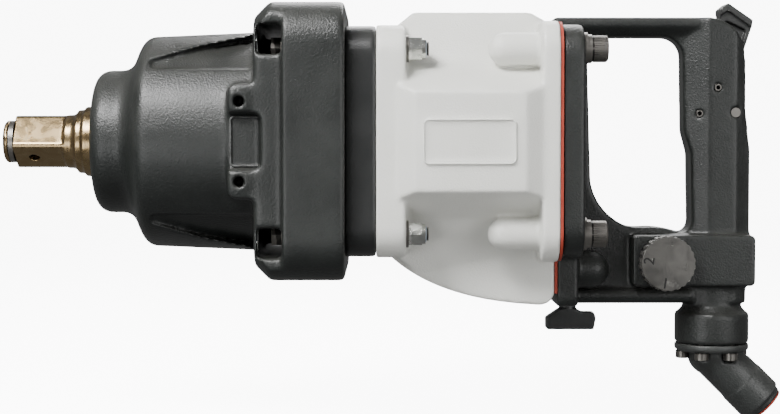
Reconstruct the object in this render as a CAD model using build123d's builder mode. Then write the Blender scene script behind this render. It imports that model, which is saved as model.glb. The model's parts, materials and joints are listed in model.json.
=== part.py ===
# One-inch air impact wrench with a D-handle, outside trigger and twin-hammer mechanism.
# X runs along the tool axis from the square drive to the handle, Z is up, -Y is the near side.
# The origin is the centre of the square drive's cross pin hole.
from build123d import *
from math import acos, atan2, cos, hypot, radians, sin
import os

os.makedirs("parts", exist_ok=True)

# ---------- fits and clearances ----------
running_fit = 0.05          # radial play of a shaft in its bush or bore
press_play = 0.02           # radial play of a pressed or clamped piece
moving_gap = 0.5            # gap between faces that pass each other
thread_play = 0.05          # radial play of a screw in its tapped hole
bolt_play = 0.3             # radial play of a bolt in its clearance hole

# ---------- square drive and anvil ----------
drive_square = 25.4
drive_corner_radius = 3.0
drive_turn = 55.1           # degrees that the square is turned about the tool axis
pin_hole_radius = 3.25
nose_x = -19.3
nose_radius = 13.5
nose_chamfer = 1.6
ring_groove_x = -16.0
ring_groove_width = 3.5
ring_groove_radius = 10.5
retaining_ring_wall = 1.4
retaining_ring_split = 2.6
square_root_x = 19.0
root_radius = 17.0
flare_radius = 20.2
anvil_radius = 22.2
anvil_core_radius = 20.0
anvil_lug_radius = 29.0
anvil_lug_half_angle = 18.0
anvil_tail_radius = 10.0
anvil_collar_radius = 27.0

# ---------- hammer case ----------
case_front_x = 39.5
boss_radius = 45.2
boss_length = 23.5
boss_round = 9.0
shoulder_length = 36.5
shoulder_radius = 66.5
barrel_end_radius = 69.5
case_bore_radius = 60.0
case_wall_at_recess = 3.2
flange_step_length = 17.7
flange_bar_length = 37.0
cage_end_room = 4.9         # between the cage's hub and the intermediate plate
flange_half = 84.0
flange_side_half = 77.0     # half width of the flange's front step
flange_corner_radius = 25.0
flange_chamfer = 9.5
lip_thickness = 1.2
seal_width = 3.4
bushing_length = 50.0
bushing_wall = 5.8
thrust_washer_thickness = 4.0
collar_length = 6.0
recess_inner_z = 44.0       # edge of the raised side panel

# ---------- side handle ears ----------
ear_length = 15.3            # from the flange to the front of the ears
ear_outer_y = 76.5
ear_half_height = 34.5
ear_pad_y = 70.0
ear_pad_half_height = 16.5
ear_pad_length = 19.6
side_hole_setback = 7.0      # from the front of the ears
side_hole_spacing = 48.0
side_hole_radius = 3.4
side_hole_depth = 14.0
side_boss_radius = 6.0

# ---------- twin hammers and cage ----------
cage_radius = 57.5
cage_front_thickness = 7.0
cage_rear_thickness = 8.0
cage_hub_radius = 24.0
cage_hub_length = 16.0
cage_web_half_angle = 15.0
cage_web_wall = 5.0
hammer_thickness = 28.0
hammer_spacing = 4.0
hammer_radius = 52.5
hammer_half_width = 43.0
hammer_bore_radius = 32.5
hammer_notch_half_width = 17.6
hammer_notch_radius = 38.5
hammer_pin_radius = 5.5
hammer_pin_centre = 45.0
hex_across_flats = 21.4

# ---------- intermediate plate ----------
plate_thickness = 18.6
plate_half = 70.0
plate_corner_radius = 18.0
plate_spigot_length = 3.0
plate_shaft_hole_radius = 21.0

# ---------- air motor ----------
motor_length = 110.4
motor_bore_radius = 54.0
front_end_plate_thickness = 19.4
rear_end_plate_thickness = 18.0
liner_bore_radius = 42.5
liner_offset = 4.0
rotor_radius = 38.0
rotor_end_gap = 0.4
vane_count = 6
vane_slot_width = 6.0
vane_slot_depth = 20.0
vane_play = 0.15
front_bearing_bore = 12.5   # radii and width of the front ball bearing
front_bearing_radius = 26.0
front_bearing_width = 15.0
front_ball_radius = 3.55
front_ball_count = 9
rear_bearing_bore = 10.0
rear_bearing_radius = 23.5
rear_bearing_width = 14.0
rear_ball_radius = 3.4
rear_ball_count = 8
ball_play = 0.1

# ---------- motor housing ----------
fastener_offset = 56.0      # case bolts and handle screws stand at (+-this, +-this)
housing_flange_half = 70.5
housing_flange_thickness = 18.1
housing_rear_flange_half = 73.0
housing_rear_flange_thickness = 11.0
housing_corner_radius = 18.0
pad_half_width = 30.0
pad_top = 80.1
pad_side = 79.5
pad_front_setback = 22.9    # from the housing's front face
pad_rear_setback = 18.0     # from the housing's rear face
channel_radius = 11.5
rear_boss_radius = 10.0
rear_boss_length = 33.0
bulge_depth = 101.6
bulge_half_width = 38.0
bulge_front_half_width = 27.0
exhaust_half_width = 15.0
exhaust_length = 35.0
screen_setback = 52.0       # from the housing's rear face
bulge_length = 101.0
screen_thickness = 2.0
label_length = 55.2
label_height = 26.7
label_rise = 0.8

# ---------- case bolts and nuts (M8), handle screws (M10) ----------
bolt_radius = 4.0
bolt_head_flats = 13.0
bolt_head_height = 6.0
washer_radius = 8.2
washer_thickness = 1.6
nut_height = 8.0
nut_collar_height = 2.2
bolt_stick_out = 1.8
head_pocket_radius = 9.5
screw_radius = 5.0
screw_head_radius = 7.9
screw_head_height = 10.0
screw_socket_flats = 8.0
flat_washer_radius = 10.0
flat_washer_thickness = 2.0
spring_washer_radius = 8.75
spring_washer_thickness = 2.6
screw_grip = 22.0           # thread length in the motor housing

# ---------- gasket and handle ----------
gasket_thickness = 1.6
gasket_bore_radius = 46.0
handle_plate_thickness = 13.4
handle_plate_half = 71.0
handle_plate_corner_radius = 20.0
plate_tail_half_width = 38.0
plate_tail_z = -96.0
arm_top_z = 78.3
arm_under_z = 66.0
arm_half_width = 15.0
grip_half_width = 17.0
grip_reach = 108.0          # from the mounting plate to the grip's outer face
handle_round = 25.0
lower_bar_z = -102.6
lower_bar_top_z = -93.0
block_reach = 36.0          # from the mounting plate to the valve block
block_length = 77.0
block_top_z = -59.0
block_bottom_z = -91.0
block_half_width = 22.0
passage_radius = 12.0
passage_y = 20.0
passage_z = -80.0
inlet_reach = 89.5
inlet_boss_radius = 23.5
inlet_boss_top_z = -105.0
inlet_boss_bottom_z = -128.6
air_bore_radius = 8.0

# cross pins of the grip: distance behind the plate, z, and the span in |y| of each pin
grip_pin_radius = 2.3
grip_pin_places = ((89.5, 34.0, 9.6, 17.3), (78.4, 17.7, 7.8, 14.7))

# ---------- trigger and throttle ----------
trigger_pivot_reach = 100.8
trigger_pivot_z = 18.3
trigger_half_width = 8.0
trigger_cap_half_width = 11.0
trigger_slot_play = 0.4
trigger_boss_radius = 6.8
trigger_pin_radius = 3.0
throttle_z = 40.0
throttle_bore_radius = 8.0
throttle_chamber_reach = 71.0
stem_radius = 3.4
stem_tip_setback = 7.7      # from the trigger's pivot to the stem's tip
poppet_radius = 5.5
poppet_thickness = 3.6
poppet_travel_room = 5.2
seat_thickness = 2.4
bush_length = 3.9
spring_radius = 2.1
spring_wire_width = 0.7
spring_length = 15.0
spring_end_gap = 0.4

# ---------- air regulator ----------
dial_reach = 56.1
dial_z = -75.9
dial_radius = 17.25
dial_thickness = 10.5
dial_gap = 1.5
spool_radius = 8.0
spool_length = 38.0
detent_ball_radius = 1.5
detent_radius = 12.0

# ---------- reverse valve ----------
reverse_setback = 3.0       # from the plate's rear face forward to the reverse spool
reverse_stem_radius = 5.5
reverse_spool_radius = 6.0
reverse_spool_top_z = -48.0
reverse_bar_top_z = -106.7
reverse_bar_bottom_z = -120.0
reverse_bar_front = 14.0    # reach of the bar in front of its stem
reverse_bar_back = 18.0
reverse_bar_half_width = 5.5

# ---------- inlet elbow ----------
elbow_flange_thickness = 5.0
elbow_screw_circle = 18.4
elbow_screw_radius = 2.5
elbow_screw_head_radius = 4.25
elbow_screw_head_height = 5.0
elbow_ball_radius = 15.6
elbow_tube_radius = 14.9
elbow_collar_radius = 15.4
elbow_ring_radius = 13.7
elbow_reach = 47.6
elbow_thread_radius = 9.13
elbow_thread_length = 18.0
strainer_radius = 8.6
strainer_thickness = 1.0
elbow_bore_radius = 8.0

# ---------- places worked out from the sizes above ----------
bushing_x = case_front_x + lip_thickness + seal_width
washer_x = bushing_x + bushing_length
collar_x = washer_x + thrust_washer_thickness
cage_x = collar_x + 2.0
front_hammer_x = cage_x + cage_front_thickness + 1.0
rear_hammer_x = front_hammer_x + hammer_thickness + hammer_spacing
cage_rear_x = rear_hammer_x + hammer_thickness + 1.0
hub_end_x = cage_rear_x + cage_rear_thickness + cage_hub_length
anvil_core_end_x = cage_rear_x + cage_rear_thickness - 2.0
anvil_tail_end_x = anvil_core_end_x + 10.0
flange_back_x = hub_end_x + cage_end_room
flange_bar_x = flange_back_x - flange_bar_length
flange_front_x = flange_bar_x - flange_step_length
ear_front_x = flange_front_x - ear_length
ear_pad_end_x = ear_front_x + ear_pad_length
side_hole_x = ear_front_x + side_hole_setback
shoulder_x = case_front_x + shoulder_length
motor_x = flange_back_x + plate_thickness
motor_end_x = motor_x + motor_length
pad_front_x = motor_x + pad_front_setback
pad_rear_x = motor_end_x - pad_rear_setback
bulge_x = motor_end_x - bulge_length
screen_x = motor_end_x - screen_setback
liner_x = motor_x + front_end_plate_thickness
rear_end_plate_x = motor_end_x - rear_end_plate_thickness
handle_x = motor_end_x + gasket_thickness
rear_x = handle_x + handle_plate_thickness      # back face of the handle's mounting plate
grip_outer_x = rear_x + grip_reach
block_front_x = rear_x + block_reach
block_back_x = block_front_x + block_length
inlet_x = rear_x + inlet_reach
trigger_pivot_x = rear_x + trigger_pivot_reach
throttle_chamber_x = rear_x + throttle_chamber_reach
stem_tip_x = trigger_pivot_x - stem_tip_setback
dial_x = rear_x + dial_reach
reverse_x = rear_x - reverse_setback
stem_end_x = throttle_chamber_x + poppet_travel_room
elbow_z = inlet_boss_bottom_z - elbow_flange_thickness
fastener_places = [(sy * fastener_offset, sz * fastener_offset) for sy in (-1, 1) for sz in (-1, 1)]

# the handle's side view, with X measured from the back of its mounting plate
handle_side = Plane((rear_x, 0, 0), x_dir=(1, 0, 0), z_dir=(0, -1, 0))


def turned(points, mode=Mode.ADD):
    # solid of revolution about the tool axis, from (x, radius) points
    with BuildSketch(Plane.XZ) as profile:
        with BuildLine():
            Polyline(*points, close=True)
        make_face()
    revolve(profile.sketch, axis=Axis.X, mode=mode)


def rods(x, length, radius, places=((0, 0),), mode=Mode.ADD):
    # round bars along the tool axis, at (y, z) places
    with BuildSketch(Plane.YZ.offset(x)) as discs:
        with Locations(*places):
            Circle(radius)
    extrude(discs.sketch, amount=length, mode=mode)


def rings(x, length, outer, inner, places=((0, 0),)):
    # washers, races and tubes along the tool axis, at (y, z) places
    with BuildSketch(Plane.YZ.offset(x)) as annuli:
        with Locations(*places):
            Circle(outer)
            Circle(inner, mode=Mode.SUBTRACT)
    extrude(annuli.sketch, amount=length)


def hexes(x, length, flats, places=((0, 0),), mode=Mode.ADD):
    # hexagonal bars along the tool axis, at (y, z) places
    with BuildSketch(Plane.YZ.offset(x)) as hexagons:
        with Locations(*places):
            RegularPolygon(flats / 2, 6, major_radius=False)
    extrude(hexagons.sketch, amount=length, mode=mode)


def sector(radius, half_angle, facing):
    # wedge of a disc in a sketch, centred on the direction `facing` in degrees
    reach = radius * 2
    left = radians(facing - half_angle)
    right = radians(facing + half_angle)
    Polygon(
        (0, 0), (reach * cos(left), reach * sin(left)), (reach * cos(right), reach * sin(right)),
        align=None,
    )
    Circle(radius, mode=Mode.INTERSECT)


# ================= square drive end =================
with BuildPart() as anvil:
    with BuildSketch(Plane.YZ.offset(nose_x)):
        RectangleRounded(drive_square, drive_square, drive_corner_radius, rotation=drive_turn)
        Circle(nose_radius, mode=Mode.INTERSECT)
    extrude(amount=ring_groove_x - nose_x)
    turned([
        (nose_x - 1, nose_radius - nose_chamfer - 1), (nose_x - 1, 2 * nose_radius),
        (nose_x + nose_chamfer, 2 * nose_radius), (nose_x + nose_chamfer, nose_radius),
    ], mode=Mode.SUBTRACT)
    rods(ring_groove_x, ring_groove_width, ring_groove_radius)
    with BuildSketch(Plane.YZ.offset(ring_groove_x + ring_groove_width)):
        RectangleRounded(drive_square, drive_square, drive_corner_radius, rotation=drive_turn)
    extrude(amount=square_root_x + 3 - ring_groove_x - ring_groove_width)
    with BuildSketch(Plane.XZ):
        with BuildLine():
            Polyline(
                (square_root_x, 0), (square_root_x, root_radius - 1.5), (square_root_x + 1.5, root_radius),
                (24, root_radius),
            )
            RadiusArc((24, root_radius), (27.5, flare_radius), -5)
            Polyline(
                (27.5, flare_radius), (31, flare_radius), (32.5, anvil_radius), (collar_x, anvil_radius),
                (collar_x, anvil_collar_radius), (collar_x + collar_length, anvil_collar_radius),
                (collar_x + collar_length, anvil_core_radius), (anvil_core_end_x, anvil_core_radius),
                (anvil_core_end_x, anvil_tail_radius), (anvil_tail_end_x - 1, anvil_tail_radius),
                (anvil_tail_end_x, anvil_tail_radius - 1), (anvil_tail_end_x, 0), (square_root_x, 0),
            )
        make_face()
    revolve(axis=Axis.X)
    for lug_x, facing in ((front_hammer_x + 1, 90), (rear_hammer_x + 1, -90)):
        with BuildSketch(Plane.YZ.offset(lug_x)):
            sector(anvil_lug_radius, anvil_lug_half_angle, facing)
        extrude(amount=hammer_thickness - 2)
    with BuildSketch(
        Plane((0, 0, 0), x_dir=(1, 0, 0), z_dir=(0, cos(radians(drive_turn)), sin(radians(drive_turn))))
    ):
        Circle(pin_hole_radius)
    extrude(amount=drive_square, both=True, mode=Mode.SUBTRACT)
anvil.part.label = "anvil"
export_step(anvil.part, "parts/anvil.step")

with BuildPart() as socket_retaining_ring:
    with BuildSketch(Plane.YZ.offset(ring_groove_x + 0.3)):
        Circle(nose_radius - 0.2)
        Circle(nose_radius - 0.2 - retaining_ring_wall, mode=Mode.SUBTRACT)
        with Locations((nose_radius, 0)):
            Rectangle(8, retaining_ring_split, mode=Mode.SUBTRACT)
    extrude(amount=ring_groove_width - 0.6)
socket_retaining_ring.part.label = "socket_retaining_ring"
export_step(socket_retaining_ring.part, "parts/socket_retaining_ring.step")

o_ring_section = (nose_radius - 0.2 - retaining_ring_wall - ring_groove_radius) / 2
with BuildPart() as retaining_o_ring:
    with Locations(Plane.YZ.offset(ring_groove_x + ring_groove_width / 2)):
        Torus(ring_groove_radius + o_ring_section, o_ring_section - press_play)
retaining_o_ring.part.label = "retaining_o_ring"
export_step(retaining_o_ring.part, "parts/retaining_o_ring.step")

# ================= hammer case =================
bushing_radius = anvil_radius + bushing_wall
case_lip_radius = anvil_radius + 1.8
cavity_x = collar_x - 1.0
recess_mid_x = (shoulder_x + flange_front_x) / 2 - 1.6
with BuildPart() as case_recesses:
    with BuildSketch(Plane.XZ):
        for side in (-1, 1):
            Polygon(
                (shoulder_x + 2, side * recess_inner_z), (shoulder_x + 2, side * 49.5),
                (recess_mid_x, side * 58.7),
                (flange_front_x - 5.3, side * 65.7), (flange_front_x - 1.3, side * 70),
                (flange_front_x - 1.3, side * recess_inner_z), align=None,
            )
    extrude(amount=flange_half, both=True)
    with BuildSketch(Plane.YZ.offset(shoulder_x - 10)):
        Circle(case_bore_radius + case_wall_at_recess)
    extrude(amount=flange_front_x, mode=Mode.SUBTRACT)

with BuildPart() as flange_blank:
    with BuildSketch(Plane.YZ.offset(flange_front_x)):
        RectangleRounded(2 * flange_half, 2 * flange_half, flange_corner_radius)
    extrude(amount=flange_back_x - flange_front_x)
    chamfer(flange_blank.edges().group_by(Axis.X)[0], flange_chamfer)
    chamfer(flange_blank.edges().group_by(Axis.X)[-1], 1.5)

with BuildPart() as hammer_case:
    with BuildSketch(Plane.XZ):
        with BuildLine():
            Line((case_front_x, 0), (case_front_x, boss_radius - boss_round))
            RadiusArc(
                (case_front_x, boss_radius - boss_round), (case_front_x + boss_round, boss_radius),
                boss_round,
            )
            Line((case_front_x + boss_round, boss_radius), (case_front_x + boss_length - 6, boss_radius))
            Spline(
                (case_front_x + boss_length - 6, boss_radius), (shoulder_x - 9.5, 54.0),
                (shoulder_x, shoulder_radius),
                tangents=((1, 0.15), (1, 0.25)),
            )
            Polyline(
                (shoulder_x, shoulder_radius), (flange_front_x + 2, barrel_end_radius),
                (flange_front_x + 2, 0),
                (case_front_x, 0),
            )
        make_face()
    revolve(axis=Axis.X)
    add(case_recesses.part, mode=Mode.SUBTRACT)
    add(flange_blank.part)
    for side in (-1, 1):
        with BuildSketch(Plane.XY.offset(-flange_half)):
            with Locations(((flange_front_x + flange_bar_x) / 2, side * (flange_side_half + 10))):
                Rectangle(flange_bar_x - flange_front_x, 20)
        extrude(amount=2 * flange_half, mode=Mode.SUBTRACT)
        with BuildSketch(Plane.XZ.offset(side * case_bore_radius)):
            with Locations(((ear_front_x + flange_bar_x + 1) / 2, 0)):
                RectangleRounded(flange_bar_x + 1 - ear_front_x, 2 * ear_half_height, 6)
        extrude(amount=side * (ear_outer_y - case_bore_radius))
        with BuildSketch(Plane.XZ.offset(side * ear_pad_y)):
            with Locations(((ear_front_x + ear_pad_end_x) / 2 - 4, 0)):
                RectangleRounded(ear_pad_length + 8, 2 * ear_pad_half_height, 3)
        extrude(amount=side * 20, mode=Mode.SUBTRACT)
        with BuildSketch(Plane.XZ.offset(side * ear_pad_y)):
            with Locations((side_hole_x, -side_hole_spacing / 2), (side_hole_x, side_hole_spacing / 2)):
                Circle(side_boss_radius)
        extrude(amount=side * (ear_outer_y + 1 - ear_pad_y))
        with BuildSketch(Plane.XZ.offset(side * (ear_outer_y + 1))):
            with Locations((side_hole_x, -side_hole_spacing / 2), (side_hole_x, side_hole_spacing / 2)):
                Circle(side_hole_radius)
        extrude(amount=-side * side_hole_depth, mode=Mode.SUBTRACT)
    turned([
        (case_front_x - 1, 0), (case_front_x - 1, case_lip_radius),
        (case_front_x + lip_thickness, case_lip_radius),
        (case_front_x + lip_thickness, bushing_radius + press_play), (washer_x, bushing_radius + press_play),
        (washer_x, bushing_radius + 6), (cavity_x, bushing_radius + 6), (cavity_x, case_bore_radius - 4),
        (cavity_x + 4, case_bore_radius), (flange_back_x + 1, case_bore_radius), (flange_back_x + 1, 0),
    ], mode=Mode.SUBTRACT)
    with BuildSketch(Plane.XZ):
        with Locations(
            ((flange_front_x + flange_bar_x) / 2 + 0.6, 61),
            ((flange_front_x + flange_bar_x) / 2 + 0.6, -61),
        ):
            RectangleRounded(15.5, 18, 2)
    extrude(amount=flange_half + 1, both=True, mode=Mode.SUBTRACT)
    rods(flange_front_x, flange_back_x - flange_front_x, case_bore_radius + 5)
    rods(flange_front_x - 1, flange_back_x - flange_front_x + 2, case_bore_radius, mode=Mode.SUBTRACT)
    rods(
        flange_front_x - 1, flange_bar_x - flange_front_x + 1, head_pocket_radius, fastener_places,
        Mode.SUBTRACT,
    )
    rods(
        flange_bar_x - 1, flange_back_x - flange_bar_x + 2, bolt_radius + bolt_play, fastener_places,
        Mode.SUBTRACT,
    )
hammer_case.part.label = "hammer_case"
export_step(hammer_case.part, "parts/hammer_case.step")

with BuildPart() as anvil_seal:
    rings(case_front_x + lip_thickness, seal_width, bushing_radius, anvil_radius + 2 * running_fit)
anvil_seal.part.label = "anvil_seal"
export_step(anvil_seal.part, "parts/anvil_seal.step")

with BuildPart() as anvil_bushing:
    rings(bushing_x, bushing_length, bushing_radius, anvil_radius + running_fit)
anvil_bushing.part.label = "anvil_bushing"
export_step(anvil_bushing.part, "parts/anvil_bushing.step")

with BuildPart() as thrust_washer:
    rings(washer_x, thrust_washer_thickness - 0.1, bushing_radius + 5.5, anvil_radius + running_fit)
thrust_washer.part.label = "thrust_washer"
export_step(thrust_washer.part, "parts/thrust_washer.step")

# ================= twin-hammer mechanism =================
pin_places = ((0, hammer_pin_centre), (0, -hammer_pin_centre))
with BuildPart() as hammer_cage:
    rings(cage_x, cage_front_thickness, cage_radius, anvil_lug_radius + 1.5)
    rings(cage_rear_x, cage_rear_thickness, cage_radius, anvil_core_radius + 2 * moving_gap)
    rods(anvil_core_end_x + moving_gap, hub_end_x - anvil_core_end_x - moving_gap, cage_hub_radius)
    for facing in (0, 180):
        with BuildSketch(Plane.YZ.offset(cage_x)):
            sector(cage_radius, cage_web_half_angle, facing)
            Circle(cage_radius - cage_web_wall, mode=Mode.SUBTRACT)
        extrude(amount=cage_rear_x - cage_x + 1)
    rods(
        anvil_core_end_x, anvil_tail_end_x - anvil_core_end_x + moving_gap, anvil_tail_radius + running_fit,
        mode=Mode.SUBTRACT,
    )
    hexes(anvil_tail_end_x, hub_end_x - anvil_tail_end_x + 1, hex_across_flats + 0.2, mode=Mode.SUBTRACT)
    rods(cage_x - 1, hub_end_x - cage_x, hammer_pin_radius + press_play, pin_places, Mode.SUBTRACT)
hammer_cage.part.label = "hammer_cage"
export_step(hammer_cage.part, "parts/hammer_cage.step")

with BuildPart() as hammer_pins:
    rods(cage_x, cage_rear_x + cage_rear_thickness - cage_x, hammer_pin_radius, pin_places)
hammer_pins.part.label = "hammer_pins"
export_step(hammer_pins.part, "parts/hammer_pins.step")

for hammer_name, hammer_x, pivot_side in (
    ("front_hammer", front_hammer_x, 1), ("rear_hammer", rear_hammer_x, -1),
):
    with BuildPart() as hammer:
        with BuildSketch(Plane.YZ.offset(hammer_x)):
            Circle(hammer_radius)
            Rectangle(2 * hammer_half_width, 3 * hammer_radius, mode=Mode.INTERSECT)
            Circle(hammer_bore_radius, mode=Mode.SUBTRACT)
            with Locations((0, pivot_side * hammer_pin_centre)):
                Circle(hammer_pin_radius + running_fit, mode=Mode.SUBTRACT)
            with Locations((0, -pivot_side * (hammer_notch_radius + hammer_radius) / 2)):
                Rectangle(
                    2 * hammer_notch_half_width, hammer_radius - hammer_notch_radius, mode=Mode.SUBTRACT,
                )
        extrude(amount=hammer_thickness)
    hammer.part.label = hammer_name
    export_step(hammer.part, f"parts/{hammer_name}.step")

# ================= intermediate plate =================
with BuildPart() as intermediate_plate:
    with BuildSketch(Plane.YZ.offset(flange_back_x)):
        RectangleRounded(2 * plate_half, 2 * plate_half, plate_corner_radius)
    extrude(amount=plate_thickness)
    chamfer(intermediate_plate.edges().group_by(Axis.X)[-1], 1.0)
    rods(flange_back_x - plate_spigot_length, plate_spigot_length, case_bore_radius - press_play)
    rods(
        flange_back_x - plate_spigot_length - 1, plate_spigot_length + plate_thickness + 2,
        plate_shaft_hole_radius, mode=Mode.SUBTRACT,
    )
    rods(flange_back_x - 1, plate_thickness + 2, bolt_radius + bolt_play, fastener_places, Mode.SUBTRACT)
intermediate_plate.part.label = "intermediate_plate"
export_step(intermediate_plate.part, "parts/intermediate_plate.step")

# ================= case bolts and nuts =================
nut_seat_x = motor_x + housing_flange_thickness
nut_x = nut_seat_x + washer_thickness
bolt_end_x = nut_x + nut_height + nut_collar_height + bolt_stick_out
with BuildPart() as case_bolts:
    hexes(
        flange_bar_x - washer_thickness - bolt_head_height, bolt_head_height, bolt_head_flats,
        fastener_places,
    )
    rods(
        flange_bar_x - washer_thickness, bolt_end_x - flange_bar_x + washer_thickness, bolt_radius,
        fastener_places,
    )
case_bolts.part.label = "case_bolts"
export_step(case_bolts.part, "parts/case_bolts.step")

with BuildPart() as case_bolt_washers:
    rings(
        flange_bar_x - washer_thickness, washer_thickness, washer_radius, bolt_radius + press_play,
        fastener_places,
    )
case_bolt_washers.part.label = "case_bolt_washers"
export_step(case_bolt_washers.part, "parts/case_bolt_washers.step")

with BuildPart() as case_nut_washers:
    rings(nut_seat_x, washer_thickness, washer_radius, bolt_radius + press_play, fastener_places)
case_nut_washers.part.label = "case_nut_washers"
export_step(case_nut_washers.part, "parts/case_nut_washers.step")

with BuildPart() as case_nuts:
    hexes(nut_x, nut_height, bolt_head_flats, fastener_places)
    rods(nut_x + nut_height, nut_collar_height, bolt_head_flats / 2 - 0.3, fastener_places)
    rods(
        nut_x - 1, nut_height + nut_collar_height + 2, bolt_radius + thread_play, fastener_places,
        Mode.SUBTRACT,
    )
case_nuts.part.label = "case_nuts"
export_step(case_nuts.part, "parts/case_nuts.step")

# ================= motor housing =================
def channel_tangent(corner_y, corner_z):
    # point where the channel round a bolt meets the pad flank that starts at (corner_y, corner_z)
    dy = corner_y - fastener_offset
    dz = corner_z - fastener_offset
    towards_corner = atan2(dz, dy)
    opening = acos(channel_radius / hypot(dy, dz))
    turn = opening if corner_z > corner_y else -opening
    return (
        fastener_offset + channel_radius * cos(towards_corner + turn),
        fastener_offset + channel_radius * sin(towards_corner + turn),
    )


port_places = ((-passage_y, passage_z), (passage_y, passage_z))
bulge_z = -bulge_depth
screen_z = bulge_z + 8.0
with BuildPart() as housing_pads:
    with BuildSketch(Plane.YZ.offset(motor_x)):
        Rectangle(2 * pad_side, 2 * pad_top)
        top_tangent = channel_tangent(pad_half_width, pad_top)
        side_tangent = channel_tangent(pad_side, pad_half_width)
        for sy, sz in ((1, 1), (1, -1), (-1, 1), (-1, -1)):
            flank = [
                (pad_half_width, pad_top), top_tangent, side_tangent, (pad_side, pad_half_width),
                (2 * pad_side, 2 * pad_top),
            ]
            Polygon(*[(sy * y, sz * z) for y, z in flank], align=None, mode=Mode.SUBTRACT)
        with Locations(*fastener_places):
            Circle(channel_radius, mode=Mode.SUBTRACT)
    extrude(amount=motor_length)
    for plane, height, rear_shift, rear_drop in ((Plane.XZ, pad_top, 3, 9), (Plane.XY, pad_side, -3.5, 12)):
        with BuildSketch(plane):
            upper = [
                (motor_x + 8, height - 12.5), (pad_front_x, height),
                (pad_rear_x + rear_shift, height), (motor_end_x, height - rear_drop),
            ]
            Polygon(*upper, *[(x, -h) for x, h in reversed(upper)], align=None)
        extrude(amount=150, both=True, mode=Mode.INTERSECT)

with BuildPart() as exhaust_bulge:
    with BuildSketch(Plane.XZ):
        with BuildLine():
            Spline(
                (bulge_x, bulge_z + 29.2), (bulge_x + 26.4, bulge_z + 12.8),
                (bulge_x + 73.4, bulge_z + 1.5), (motor_end_x, bulge_z),
            )
            Polyline(
                (motor_end_x, bulge_z), (motor_end_x, -motor_bore_radius), (bulge_x, -motor_bore_radius),
                (bulge_x, bulge_z + 29.2),
            )
        make_face()
    extrude(amount=bulge_half_width, both=True)
    with BuildSketch(Plane.XY):
        Polygon(
            (bulge_x, bulge_front_half_width), (motor_end_x, bulge_half_width),
            (motor_end_x, -bulge_half_width), (bulge_x, -bulge_front_half_width), align=None,
        )
    extrude(amount=150, both=True, mode=Mode.INTERSECT)
    bulge_floor = exhaust_bulge.faces().sort_by(Axis.Z)[0]
    fillet([e for e in bulge_floor.edges() if abs(e.center().Y) > bulge_front_half_width / 2], 9)

with BuildPart() as motor_housing:
    with BuildSketch(Plane.YZ.offset(motor_x)):
        RectangleRounded(2 * housing_flange_half, 2 * housing_flange_half, housing_corner_radius)
    extrude(amount=housing_flange_thickness)
    fillet(motor_housing.edges().group_by(Axis.X)[-1], 2.5)
    with BuildSketch(Plane.YZ.offset(motor_end_x)):
        RectangleRounded(2 * housing_rear_flange_half, 2 * housing_rear_flange_half, housing_corner_radius)
    extrude(amount=-housing_rear_flange_thickness)
    add(housing_pads.part)
    add(exhaust_bulge.part)
    rods(motor_end_x - rear_boss_length, rear_boss_length, rear_boss_radius, fastener_places)
    with Locations(*[(motor_end_x - rear_boss_length, y, z) for y, z in fastener_places]):
        Sphere(rear_boss_radius)
    for side in (-1, 1):
        with BuildSketch(Plane.XZ.offset(side * (pad_side - 1))):
            with Locations(((pad_front_x + pad_rear_x) / 2 - 2, 0)):
                RectangleRounded(label_length, label_height, 5)
                RectangleRounded(label_length - 3.2, label_height - 3.2, 3.6, mode=Mode.SUBTRACT)
        extrude(amount=side * (1 + label_rise))
    rods(motor_x - 1, motor_length + 2, motor_bore_radius + press_play, mode=Mode.SUBTRACT)
    rods(motor_x - 1, housing_flange_thickness + 2, bolt_radius + bolt_play, fastener_places, Mode.SUBTRACT)
    rods(nut_seat_x, bolt_end_x - nut_seat_x + 6, washer_radius + 0.8, fastener_places, Mode.SUBTRACT)
    rods(
        motor_end_x - screw_grip - 3, screw_grip + 4, screw_radius + thread_play, fastener_places,
        Mode.SUBTRACT,
    )
    rods(motor_end_x - 24, 25, air_bore_radius, port_places, Mode.SUBTRACT)
    with BuildSketch(Plane.XY.offset(screen_z)):
        with Locations((screen_x + exhaust_length / 2 + 2, 0)):
            Rectangle(exhaust_length + 8, 2 * exhaust_half_width + 10)
    extrude(amount=-screen_z - motor_bore_radius + 8, mode=Mode.SUBTRACT)
    with BuildSketch(Plane.XY.offset(bulge_z - 1)):
        with Locations((screen_x + exhaust_length / 2 + 2, 0)):
            RectangleRounded(exhaust_length, 2 * exhaust_half_width, 4)
    extrude(amount=15, mode=Mode.SUBTRACT)
motor_housing.part.label = "motor_housing"
export_step(motor_housing.part, "parts/motor_housing.step")

with BuildPart() as exhaust_screen:
    with BuildSketch(Plane.XY.offset(screen_z)):
        with Locations((screen_x + exhaust_length / 2 + 2, 0)):
            Rectangle(exhaust_length + 8 - 2 * running_fit, 2 * exhaust_half_width + 10 - 2 * running_fit)
            with GridLocations(4.2, 0, 8, 1):
                SlotOverall(2 * exhaust_half_width - 4, 2.2, rotation=90, mode=Mode.SUBTRACT)
    extrude(amount=screen_thickness)
exhaust_screen.part.label = "exhaust_screen"
export_step(exhaust_screen.part, "parts/exhaust_screen.step")

# ================= air motor =================
front_race_x = motor_x
rear_race_x = motor_end_x - rear_bearing_width
rotor_front_x = liner_x + rotor_end_gap
rotor_back_x = rear_end_plate_x - rotor_end_gap
circlip_x = motor_end_x + 0.6
circlip_thickness = 1.2
shaft_end_x = circlip_x + circlip_thickness + 2.0
with BuildPart() as front_end_plate:
    rings(motor_x, front_end_plate_thickness, motor_bore_radius, front_bearing_bore + 1.0)
    rods(front_race_x, front_bearing_width, front_bearing_radius + press_play, mode=Mode.SUBTRACT)
front_end_plate.part.label = "front_end_plate"
export_step(front_end_plate.part, "parts/front_end_plate.step")

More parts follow.
